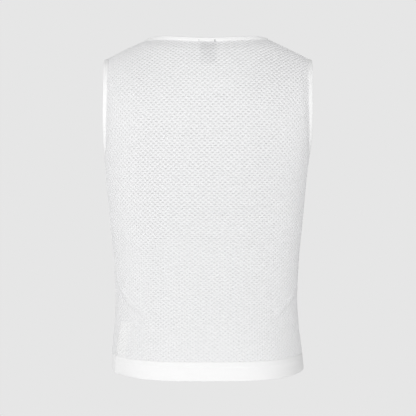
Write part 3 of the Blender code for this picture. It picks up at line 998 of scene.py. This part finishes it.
def joined(name, parts):
    """Several meshes as one."""
    shape = bmesh.new()
    for part in parts:
        shape.from_mesh(part.data)
        bpy.data.objects.remove(part)
    mesh = bpy.data.meshes.new(name)
    shape.to_mesh(mesh)
    shape.free()
    return link(name, mesh)


def lined(face, points, lift):
    """Points with their creases, moved out from the outer face by lift."""
    normals = outward(face, points)
    lift = cloth_lift(face, points) + lift
    return points + normals * np.asarray(lift)[..., None] + (0, face.side * SEAM_GAP / 2, 0)


print("skin and join ready")

# %% Lines beside the side and shoulder seams
SIDE_STEPS = 120            # places along a side seam
SHOULDER_STEPS = 40         # places along a shoulder seam
PATH_STEPS = 200            # places along a path that runs in from the seam
SIDE_PATH = 0.2             # how far in it runs from the side, as a share of the half width
SHOULDER_PATH = 12.0        # how far down it runs from the ridge


def at_inset(paths, values, inset):
    """Each path's value where it has run that many millimetres over the cloth."""
    start = np.zeros((1, paths.shape[1]))
    done = np.concatenate((start, np.cumsum(run_length(paths), 0)))
    return np.array([np.interp(inset, run, value) for run, value in zip(done.T, values.T)])


def placed(line, side, inset):
    """The line on its own side of the garment, exactly on the seam plane at inset 0."""
    if inset == 0:
        line[:, 1] = 0
    return line * (side, 1, 1)


def side_line(face, side, inset):
    """Up the side seam, some millimetres in from it over the cloth."""
    height = np.linspace(HEM_SIDE - TUCK, UNDERARM - BINDING_WIDTH + TUCK, SIDE_STEPS)
    inwards = 1 - SIDE_PATH * np.linspace(0, 1, PATH_STEPS)[:, None] ** 2
    paths = on_form(face, column(SECTIONS, "half_width", height) * inwards, height)
    x = at_inset(paths, paths[..., 0], inset)
    return placed(on_form(face, x, height), side, inset)


def shoulder_seam_line(face, side, inset):
    """Along the shoulder ridge, some millimetres down from it."""
    x = np.linspace(NECK_HALF_WIDTH + BINDING_WIDTH - TUCK,
                    ARMHOLE[-1].back - BINDING_WIDTH + TUCK, SHOULDER_STEPS)
    down = SHOULDER_PATH * np.linspace(0, 1, PATH_STEPS)[:, None] ** 2
    paths = on_form(face, x, shoulder_line(x) - down)
    height = at_inset(paths, paths[..., 2], inset)
    return placed(on_form(face, x, height), side, inset)


print("side seam length:", round(run_length(side_line(BACK, 1, 0)).sum()), "mm")


# %% Ribbons, and both net panels
RIBBON_WIDTH = 5.0
RIBBON_LIFTS = np.array((0.1, 0.14, 0.14, 0.1, -0.1))       # from the seam inwards
RIBBON_INNER = -0.9         # its inner face, below the cloth's outer face
HOLE_UNEVENNESS = 0.03      # how far holes differ in size
NET_SEEDS = {"back": 3, "front": 8}
MEAN_ROW_PITCH = 3.6        # gives the yarn's own knit its size, so it can be a mean


def ribbon(face, line_of, side):
    insets = np.linspace(0, RIBBON_WIDTH, len(RIBBON_LIFTS))
    lines = np.stack([line_of(face, side, inset) for inset in insets], 1)
    outer = lined(face, lines, RIBBON_LIFTS)
    inner = lined(face, lines[:, ::-1], RIBBON_INNER)
    return skin("ribbon", np.concatenate((outer, inner), 1))


def net_panel(face):
    """A panel with its ribbons; the lattice reaches one row and hole past its edges."""
    edges = [ribbon(face, line, side) for line in (side_line, shoulder_seam_line)
             for side in (1, -1)]
    across, up = patterns[face.name].max((0, 1))
    return baked(
        face.name + "_panel_net", joined(face.name + "_edges", edges), NET_TREE,
        form=forms[face.name], cell=cell, columns=2 * int(across) + 3, rows=int(up) + 2,
        unevenness=HOLE_UNEVENNESS, seed=NET_SEEDS[face.name], hole_pitch=HOLE_PITCH,
        row_pitch=MEAN_ROW_PITCH, material=net_cloth)


panels = {face.name: net_panel(face) for face in (BACK, FRONT)}

# %% [markdown]
# ## The net over the care label
#
# The satin behind the net fills its holes with white, so the strip over the label is
# brighter than the net round it. Rendered with the label alone it stays too grey, so the
# faces that lie over the label take a whiter, more see-through net of their own: painted
# light that stands in for the light the satin sends back, on yarn that is no whiter there.
# They are found by their place, with the function that placed the strip.

# %% Paint light onto the net over the care label
def from_model(points):
    """The model's metres as points of the form, the way back from to_model."""
    height = points[..., 2] * 1000 + LENGTH
    return np.stack((points[..., 0] * 1000 - column(SECTIONS, "sway", height),
                     points[..., 1] * 1000, height), -1)


def over_label(label, points):
    across, down = on_label(label, points)
    return (abs(across - 0.5) < 0.5) & (abs(down - 0.5) < 0.5)


def face_centres(mesh):
    centres = np.empty(3 * len(mesh.polygons))
    mesh.polygons.foreach_get("center", centres)
    return from_model(centres.reshape(-1, 3))


back_net = panels["back"].data
back_net.materials.clear()
for material in (net_cloth, net_painted_light_over_tape):
    back_net.materials.append(material)
over = over_label(LABELS[1], face_centres(back_net))
back_net.polygons.foreach_set("material_index", over.astype(int))
print(over.sum(), "faces of the back net lie over the care label")

# %% [markdown]
# ## Bindings
#
# A binding is a strip of elastic folded over the raw edge and stitched down. Its fold is
# rounded and full, and the stitching draws a shallow groove. The profile is a short table
# of places across the strip, and it is swept along the edge with the same moved lines as
# before. A bevelled curve would twist where the armhole turns over the shoulder.

# %% The binding's profile and its sweep
Fold = namedtuple("Fold", "inset lift")
BINDING_PROFILE = [
    Fold(8.0, 0.05), Fold(7.6, 0.34), Fold(6.9, 0.46), Fold(6.2, 0.28), Fold(5.5, 0.48),
    Fold(4.2, 0.56), Fold(3.3, 0.50), Fold(2.6, 0.36), Fold(1.9, 0.50), Fold(1.1, 0.40),
    Fold(0.35, 0.0), Fold(0.0, -0.75), Fold(0.35, -1.5), Fold(1.1, -1.9),
    Fold(4.2, -2.0), Fold(7.6, -1.9), Fold(8.0, -1.5),
]
SIDES = {"left": 1, "right": -1}


def face_rings(face, line, centre):
    """The folded profile at every place along one face's half of an opening."""
    rings = []
    for fold in BINDING_PROFILE:
        place = moved(face, line, fold.inset, centre)
        lift = dip(place, fold.inset) + fold.lift
        rings.append(place + outward(face, place) * lift[:, None])
    return np.stack(rings, 1)


def round_neck(back, front):
    """Both faces' halves and their mirror images, in order round the neck."""
    flip = (-1, 1, 1)
    return np.concatenate((back, front[::-1][1:], front[1:] * flip, back[::-1][1:-1] * flip))


def round_armhole(back, front, side):
    return np.concatenate((back, front[::-1][1:-1])) * (side, 1, 1)


def neck_binding():
    halves = [face_rings(face, neck_line(face), NECK_CENTRE) for face in (BACK, FRONT)]
    return skin("neck_binding_folded", round_neck(*halves), binding_cloth, closed_along=True)


def armhole_binding(name, side):
    halves = [face_rings(face, armhole_line(face), ARMHOLE_CENTRE) for face in (BACK, FRONT)]
    return skin(name, round_armhole(*halves, side), binding_cloth, closed_along=True)


neck = neck_binding()
armholes = {side: armhole_binding(f"armhole_binding_folded_{side}", sign)
            for side, sign in SIDES.items()}
print("neck binding:", len(neck.data.polygons), "faces")

# %% [markdown]
# ## Hem band
#
# The band is a folded strip of fine knit: full at the fold, lightly drawn in along its
# two stitched rows, and flat at the top where it covers the net. Back and front are
# separate strips that meet at the side seams.

# %% The band's profile and both strips
Band = namedtuple("Band", "up lift")
BAND_PROFILE = [
    Band(1.0, 0.05), Band(0.985, 0.36), Band(0.93, 0.46), Band(0.895, 0.30),
    Band(0.86, 0.46), Band(0.75, 0.48), Band(0.715, 0.32), Band(0.68, 0.50),
    Band(0.5, 0.62), Band(0.3, 0.60), Band(0.12, 0.58), Band(0.04, 0.42), Band(0.012, 0.0),
    Band(0.0, -0.75), Band(0.012, -1.5), Band(0.04, -1.9), Band(0.3, -2.0),
    Band(0.7, -2.0), Band(0.985, -1.9), Band(1.0, -1.5),
]
BAND_STEPS = 150            # places along each half of the band
LEVEL_STEPS = 600           # places that they are spaced out from


def level_line(face, share_up):
    """Round the form at a share of the band's height, even along the cloth."""
    angle = np.linspace(-math.pi / 2, math.pi / 2, LEVEL_STEPS)
    height = (HEM_SIDE + (HEM_CENTRE - HEM_SIDE) * np.cos(angle)) * share_up
    fine = on_form(face, np.sin(angle) * column(SECTIONS, "half_width", height), height)
    fine[[0, -1], 1] = 0
    done = np.concatenate(((0,), np.cumsum(run_length(fine))))
    even = np.linspace(0, done[-1], BAND_STEPS + 1)
    return np.stack([np.interp(even, done, fine[:, axis]) for axis in range(3)], -1)


def hem_band(face):
    rings = np.stack([lined(face, level_line(face, band.up), band.lift)
                      for band in BAND_PROFILE], 1)
    return skin(f"hem_band_folded_{face.name}", rings, hem_cloth)


hems = {face.name: hem_band(face) for face in (BACK, FRONT)}
hem_round = sum(run_length(level_line(face, 0.0)).sum() for face in (BACK, FRONT))
print(f"hem round: {hem_round:.0f} mm")

# %% [markdown]
# ## Labels
#
# Two blank tapes lie inside: a grey woven one hangs from the neck binding, and the white
# satin one makes the strip at the left side. Both are thin strips just inside the net of
# the back, with a slight wave so that they look soft. They follow the net's own lift, so
# they stay behind it.

# %% The two tapes
LABEL_INSET = 1.0           # below the net's outer face
LABEL_WALL = 0.5
LABEL_ROWS, LABEL_COLUMNS = 31, 13
WAVE = 0.35
WAVE_TURN = 5.0             # radians from a label's top to its foot
WAVE_TWIST = 0.6            # how much more one long edge waves than the middle


def label_tape(label, material):
    down = np.linspace(0, 1, LABEL_ROWS)
    height = label.top_height + (label.foot_height - label.top_height) * down
    middle = on_form(BACK, label.top_x + (label.foot_x - label.top_x) * down, height)
    sideways = unit(np.cross(outward(BACK, middle), (0, 0, 1)))
    across = np.linspace(-1, 1, LABEL_COLUMNS)
    spread = label.width / 2 * across[:, None]
    points = settled(BACK, middle[:, None] + sideways[:, None] * spread)
    wave = WAVE * np.sin(down * WAVE_TURN)[:, None] * (1 + across * WAVE_TWIST)
    lift = cloth_lift(BACK, points) + wave * down[:, None] - LABEL_INSET - WAVE
    normals = outward(BACK, points)
    outer = points + normals * lift[..., None]
    inner = points + normals * (lift - LABEL_WALL)[..., None]
    return skin(label.name + "_tape", np.concatenate((outer, inner[:, ::-1]), 1), material)


tapes = {label.name: label_tape(label, material)
         for label, material in zip(LABELS, (grey_tape, satin_tape))}
print("tapes:", ", ".join(tapes))

# %% [markdown]
# ## Stitches
#
# Coverstitch shows as rows of short thread bars, dipping into the cloth at each end. Each
# row follows a line beside an edge. One stitch is modelled with a few dozen faces, and
# Geometry Nodes set it along the line at an even spacing, turned to the cloth.

# %% One stitch
Stitch = namedtuple("Stitch", "name length radius spacing slant")     # slant in radians
COVER_STITCH = Stitch("stitch_bar", 2.3, 0.22, 2.8, 0.0)
SEAM_STITCH = Stitch("stitch_slant", 3.4, 0.24, 2.1, 0.75)
TACK_STITCH = Stitch("stitch_tack", 2.2, 0.25, 2.2, 0.0)
STITCH_SIDES = 6
STITCH_RINGS = 6
THREAD_TURN, THREAD_STEP = 1 / 3, 1 / 2     # millimetres of thread between a bar's points
STITCH_RISE = 1.5           # how far its middle stands above its dipped ends, in radii


def stitch_shape(stitch):
    """A thread bar along X that lies on the cloth and dips in at both ends."""
    rings = []
    for step in np.linspace(-1, 1, STITCH_RINGS):
        angle = np.linspace(0, 2 * math.pi, STITCH_SIDES, endpoint=False)
        rise = stitch.radius * (STITCH_RISE * (1 - step ** 4) - 1.0)
        rings.append([(step * stitch.length / 2, stitch.radius * math.cos(a),
                       rise + stitch.radius * math.sin(a)) for a in angle])
    shape = bmesh.new()
    layer = shape.loops.layers.uv.new("knit")
    verts = [[shape.verts.new(np.array(p) / 1000) for p in ring] for ring in rings]
    for r in range(len(rings) - 1):
        for s in range(STITCH_SIDES):
            corners = ((r, s), (r + 1, s), (r + 1, s + 1), (r, s + 1))
            face = shape.faces.new([verts[a][b % STITCH_SIDES] for a, b in corners])
            for corner, (a, b) in zip(face.loops, corners):
                corner[layer].uv = (b * THREAD_TURN, a * THREAD_STEP)
    bmesh.ops.recalc_face_normals(shape, faces=shape.faces)
    mesh = bpy.data.meshes.new(stitch.name)
    shape.to_mesh(mesh)
    shape.free()
    mesh.shade_smooth()
    return link(stitch.name, mesh)


bars = {stitch.name: stitch_shape(stitch)
        for stitch in (COVER_STITCH, SEAM_STITCH, TACK_STITCH)}
print("a stitch has", len(bars["stitch_bar"].data.polygons), "faces")


# %% The tree that repeats a stitch
def stitch_tree():
    t = Tree("row_of_stitches", [
        ("Stitch", "Object"), ("Spacing", "Float"), ("Slant", "Float"),
        ("Material", "Material")])
    curve = t.add("GeometryNodeMeshToCurve", t.given.outputs["Geometry"])
    resample = t.tree.nodes.new("GeometryNodeResampleCurve")
    resample.mode = "LENGTH"
    t.tree.links.new(curve, resample.inputs["Curve"])
    t.tree.links.new(t.input("Spacing"), resample.inputs["Length"])
    up = t.named("outward", "FLOAT_VECTOR")
    tangent = t.add("GeometryNodeInputTangent")
    turn = t.add("FunctionNodeAlignRotationToVector", None, None, up, axis="Z")
    turn = t.add("FunctionNodeAlignRotationToVector", turn, None, tangent, axis="X",
                 pivot_axis="Z")
    slant = t.tree.nodes.new("FunctionNodeRotateRotation")
    slant.rotation_space = "LOCAL"
    t.tree.links.new(turn, slant.inputs["Rotation"])
    spin = t.add("FunctionNodeEulerToRotation",
                 t.add("ShaderNodeCombineXYZ", 0.0, 0.0, t.input("Slant")))
    t.tree.links.new(spin, slant.inputs["Rotate By"])
    rows = t.add("GeometryNodeInstanceOnPoints", resample.outputs["Curve"], None,
                 t.shape_of("Stitch"), None, None, slant.outputs[0])
    return t.finish(rows)


STITCH_TREE = stitch_tree()
print("stitch tree:", len(STITCH_TREE.nodes), "nodes")


# %% Lines to stitch along
def polyline(name, lines):
    """Lines of (points, outward) as edges that carry the outward direction."""
    points, normals, edges = [], [], []
    for line, normal, closed in lines:
        first = len(points)
        points += to_model(line).tolist()
        normals += normal.tolist()
        edges += [(first + i, first + i + 1) for i in range(len(line) - 1)]
        if closed:
            edges.append((first + len(line) - 1, first))
    mesh = bpy.data.meshes.new(name)
    mesh.from_pydata(points, edges, [])
    stored = mesh.attributes.new("outward", "FLOAT_VECTOR", "POINT")
    stored.data.foreach_set("vector", np.array(normals).ravel())
    return link(name, mesh)


def opening_line(edge, centre, row, side=0):
    """All the way round an opening: side 0 for the neck, 1 or -1 for an armhole."""
    halves = []
    for face in (BACK, FRONT):
        place = moved(face, edge(face), row.inset, centre)
        normal = outward(face, place)
        halves.append((place + normal * (dip(place, row.inset) + row.lift)[:, None], normal))
    points, normals = zip(*halves)
    if side:
        return round_armhole(*points, side), round_armhole(*normals, side), True
    return round_neck(*points), round_neck(*normals), True


def band_line(face, row):
    line = level_line(face, row.up)[1:-1]
    return lined(face, line, row.lift), outward(face, line), False


print("stitch lines ready")

# %% Sew the bindings and the hem
BINDING_ROWS = [Fold(6.2, 0.40), Fold(2.6, 0.48)]       # in the profile's two grooves
HEM_ROWS = [Band(0.895, 0.42), Band(0.715, 0.44)]
stitching = {}


def sew(name, lines, stitch, thread):
    start = polyline(name + "_line", lines)
    stitching[name] = baked(name, start, STITCH_TREE, stitch=bars[stitch.name],
                            spacing=stitch.spacing / 1000, slant=stitch.slant,
                            material=thread)


sew("neck_stitches", [opening_line(neck_line, NECK_CENTRE, row) for row in BINDING_ROWS],
    COVER_STITCH, white_thread)
for side, sign in SIDES.items():
    sew(f"armhole_stitches_{side}", [opening_line(armhole_line, ARMHOLE_CENTRE, row, sign)
                                     for row in BINDING_ROWS], COVER_STITCH, white_thread)
sew("hem_stitches", [band_line(face, row) for face in (BACK, FRONT) for row in HEM_ROWS],
    COVER_STITCH, white_thread)

# %% [markdown]
# ## Side and shoulder seams
#
# The panels are joined flat: two rows of slanting thread on each side of the join hold
# the turned edges down, so that nothing rubs on the skin. The same tree makes them, with
# the stitch turned by a slant and set closer.

# %% Sew the sides and shoulders
SEAM_INSETS = (1.4, 4.2)
SEAM_LIFT = 0.24


def seam_lines(line_of):
    lines = []
    for side in (1, -1):
        for face in (BACK, FRONT):
            for inset in SEAM_INSETS:
                line = line_of(face, side, inset)
                lines.append((lined(face, line, SEAM_LIFT), outward(face, line), False))
    return lines


sew("side_seam_stitches", seam_lines(side_line), SEAM_STITCH, white_thread)
sew("shoulder_seam_stitches", seam_lines(shoulder_seam_line), SEAM_STITCH, white_thread)

# %% [markdown]
# ## The neck label's tacks
#
# The label is held by two small bar tacks of grey thread that show on the outside of the
# neck binding. Each is a few stitches side by side.

# %% Tack the label
TACKS = {15.4: (0.0,), -11.6: (-0.45, 0.0, 0.45)}   # x, and how its threads are spread
TACK_INSETS = (5.2, 7.4)    # where a thread starts and ends on the binding
TACK_LIFT = 0.62


def tack_lines():
    edges = [moved(BACK, neck_line(BACK), inset, NECK_CENTRE) for inset in TACK_INSETS]
    lines = []
    for x, spread in TACKS.items():
        for offset in spread:
            ends = [[np.interp(abs(x) + offset, edge[:, 0], edge[:, axis])
                     for axis in range(3)] for edge in edges]
            line = np.array(ends) * (math.copysign(1, x), 1, 1)
            normal = outward(BACK, line)
            lift = cloth_lift(BACK, line) + TACK_LIFT
            lines.append((line + normal * lift[:, None], normal, False))
    return lines


sew("neck_label_tacks", tack_lines(), TACK_STITCH, grey_thread)

# %% [markdown]
# ## Fasten every piece to the imported part
#
# Each piece rides on the part's one body and stands for its solid where it has one.
# Every sheet of cloth also states the size that it was cut to.

# %% Ride and replace
for made, node, finish in (
    (panels["back"], "back_panel", "net"), (panels["front"], "front_panel", "net"),
    (neck, "neck_binding", "binding"),
    (armholes["left"], "armhole_binding_left", "binding"),
    (armholes["right"], "armhole_binding_right", "binding"),
    (hems["back"], "hem_band_back", "hem"), (hems["front"], "hem_band_front", "hem"),
    (tapes["neck_label"], "neck_label", "neck_label"),
    (tapes["care_label"], "care_label", "care_label"),
):
    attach(made, "root")
    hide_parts(node)
for name, made in stitching.items():
    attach(made, "root")
for helper in (*forms.values(), cell, *bars.values()):
    bpy.data.objects.remove(helper)


# %% State how each sheet was cut
FOLD = 2.0                  # what the turn of a folded edge takes up
SHOULDER_COLUMN = SHEET_COLUMNS * 4 // 5    # a column of points that ends on a shoulder


def state_cut(made, width, length):
    print(f"{made.name}: cut {width:.0f} x {length:.0f} mm")


for face in (BACK, FRONT):
    points = sheet_points[face.name]
    width = 2 * patterns[face.name][..., 0].max() * HOLE_PITCH
    up = run_length(points[:, SHOULDER_COLUMN]).sum()
    state_cut(panels[face.name], width, up)
    state_cut(hems[face.name], HEM_CENTRE + FOLD, run_length(level_line(face, 0.5)).sum())
neck_round = 2 * sum(run_length(neck_line(face)).sum() for face in (BACK, FRONT))
state_cut(neck, BINDING_WIDTH + FOLD, neck_round)
for made in armholes.values():
    state_cut(made, BINDING_WIDTH + FOLD,
              sum(run_length(armhole_line(face)).sum() for face in (BACK, FRONT)))
for label in LABELS:
    length = math.hypot(label.top_x - label.foot_x, label.top_height - label.foot_height)
    state_cut(tapes[label.name], label.width, length)

# %% [markdown]
# ## Studio
#
# The photograph is evenly lit on a plain pale ground, a little stronger from the left.
# A pale room gives the even light, with less of it from above and from the far right. Two
# large soft lamps, one behind the camera and one to the left in the picture, give the
# slight turn from left to right. The camera stands behind the wearer, level with the
# garment's middle.

# %% Node helper for the room
scene = bpy.context.scene
scene.view_settings.view_transform = "Standard"


def ramp(tree, value, start, end, at_start, at_end):
    """A value that turns smoothly from one number into another between two limits."""
    node = tree.nodes.new("ShaderNodeMapRange")
    node.interpolation_type = "SMOOTHSTEP"
    tree.links.new(value, node.inputs[0])
    for socket, number in zip(node.inputs[1:5], (start, end, at_start, at_end)):
        socket.default_value = number
    return node.outputs[0]


print("view transform:", scene.view_settings.view_transform)

# %% Light the room
PALE = 0.7914               # the photograph's ground, as linear light
ROOM = 1.15                 # what the room sends to the cloth
ROOM_TOP = ROOM * 0.45      # what it sends from straight above
TOP_FROM, TOP_TO = 0.2, 0.9         # heights on a unit sphere
SHADED_SIDE = math.radians(125)     # from behind the camera, round to the right
SHADE_FROM, SHADE_TO = 0.84, 0.99   # cosines of the angle from that side
SHADE = 0.32                # what is left of the light there


def room_light():
    """Even light, less of it from above and from the far right."""
    world = bpy.data.worlds.new("pale_room")
    scene.world = world
    world.use_nodes = True
    tree = world.node_tree
    shown = tree.nodes["Background"]
    shown.inputs["Color"].default_value = (PALE, PALE, PALE, 1)
    place = tree.nodes.new("ShaderNodeTexCoord")
    apart = tree.nodes.new("ShaderNodeSeparateXYZ")
    tree.links.new(place.outputs["Generated"], apart.inputs[0])
    x, y, z = apart.outputs
    level_length = maths(tree, "SQRT", maths(tree, "ADD", maths(tree, "MULTIPLY", x, x),
                                             maths(tree, "MULTIPLY", y, y)))
    towards = maths(tree, "ADD", maths(tree, "MULTIPLY", x, -math.sin(SHADED_SIDE)),
                    maths(tree, "MULTIPLY", y, math.cos(SHADED_SIDE)))
    sector = maths(tree, "DIVIDE", towards, maths(tree, "MAXIMUM", level_length, 0.001))
    strength = maths(tree, "MULTIPLY", ramp(tree, sector, SHADE_FROM, SHADE_TO, 1.0, SHADE),
                     ramp(tree, z, TOP_FROM, TOP_TO, ROOM, ROOM_TOP))
    sent = tree.nodes.new("ShaderNodeBackground")
    tree.links.new(strength, sent.inputs["Strength"])
    path = tree.nodes.new("ShaderNodeLightPath")
    mix = tree.nodes.new("ShaderNodeMixShader")
    tree.links.new(path.outputs["Is Camera Ray"], mix.inputs[0])
    tree.links.new(sent.outputs[0], mix.inputs[1])
    tree.links.new(shown.outputs[0], mix.inputs[2])
    tree.links.new(mix.outputs[0], tree.nodes["World Output"].inputs["Surface"])


room_light()
print("room strength:", ROOM, "at the sides,", round(ROOM_TOP, 2), "from above")

# %% Lay the floor
FLOOR_BELOW = 0.35          # metres below the hem
FLOOR_RADIUS = 1.1
FLOOR_SIDES = 96
FLOOR_WHITE = 0.95
FLOOR_ROUGHNESS = 0.9


def pale_floor():
    shape = bmesh.new()
    bmesh.ops.create_circle(shape, cap_ends=True, radius=FLOOR_RADIUS, segments=FLOOR_SIDES)
    mesh = bpy.data.meshes.new("floor")
    shape.to_mesh(mesh)
    shape.free()
    paint = bpy.data.materials.new("pale_floor")
    paint.use_nodes = True
    inputs = paint.node_tree.nodes["Principled BSDF"].inputs
    inputs["Base Color"].default_value = (FLOOR_WHITE, FLOOR_WHITE, FLOOR_WHITE, 1)
    inputs["Roughness"].default_value = FLOOR_ROUGHNESS
    floor = link("floor", mesh, paint)
    floor.location.z = -LENGTH / 1000 - FLOOR_BELOW
    return floor


floor = pale_floor()
print("floor at", round(floor.location.z, 3), "m")

# %% Set the lamps
Lamp = namedtuple("Lamp", "name place size energy")
LAMPS = [
    Lamp("front_lamp", (0.05, 2.4, -0.3), 1.2, 21.0),
    Lamp("left_lamp", (2.3, 0.6, -0.2), 1.4, 5.6),
]
LAMP_AIM = Vector((0, 0, -0.3))


def soft_lamp(lamp):
    data = bpy.data.lights.new(lamp.name, "AREA")
    data.shape = "DISK"
    data.size = lamp.size
    data.energy = lamp.energy
    thing = bpy.data.objects.new(lamp.name, data)
    scene.collection.objects.link(thing)
    thing.location = lamp.place
    aim = LAMP_AIM - thing.location
    thing.rotation_euler = aim.to_track_quat("-Z", "Y").to_euler()


for lamp in LAMPS:
    soft_lamp(lamp)
print("lamps:", ", ".join(lamp.name for lamp in LAMPS))

# %% Set the camera
CAMERA_BEHIND = 1.63        # metres behind the seam plane
CAMERA_HEIGHT = 0.2817      # above the hem
FOCUS_PIXELS = 931.0        # distance from lens to picture, in the photograph's pixels
PICTURE_PIXELS = 416
SENSOR = 36.0
camera_data = bpy.data.cameras.new("camera")
camera_data.sensor_width = SENSOR
camera_data.lens = FOCUS_PIXELS / PICTURE_PIXELS * SENSOR
camera = bpy.data.objects.new("camera", camera_data)
scene.collection.objects.link(camera)
camera.location = (0, CAMERA_BEHIND, CAMERA_HEIGHT - LENGTH / 1000)
camera.rotation_euler = (math.pi / 2, 0, math.pi)
scene.camera = camera
print("camera at", [round(v, 3) for v in camera.location])
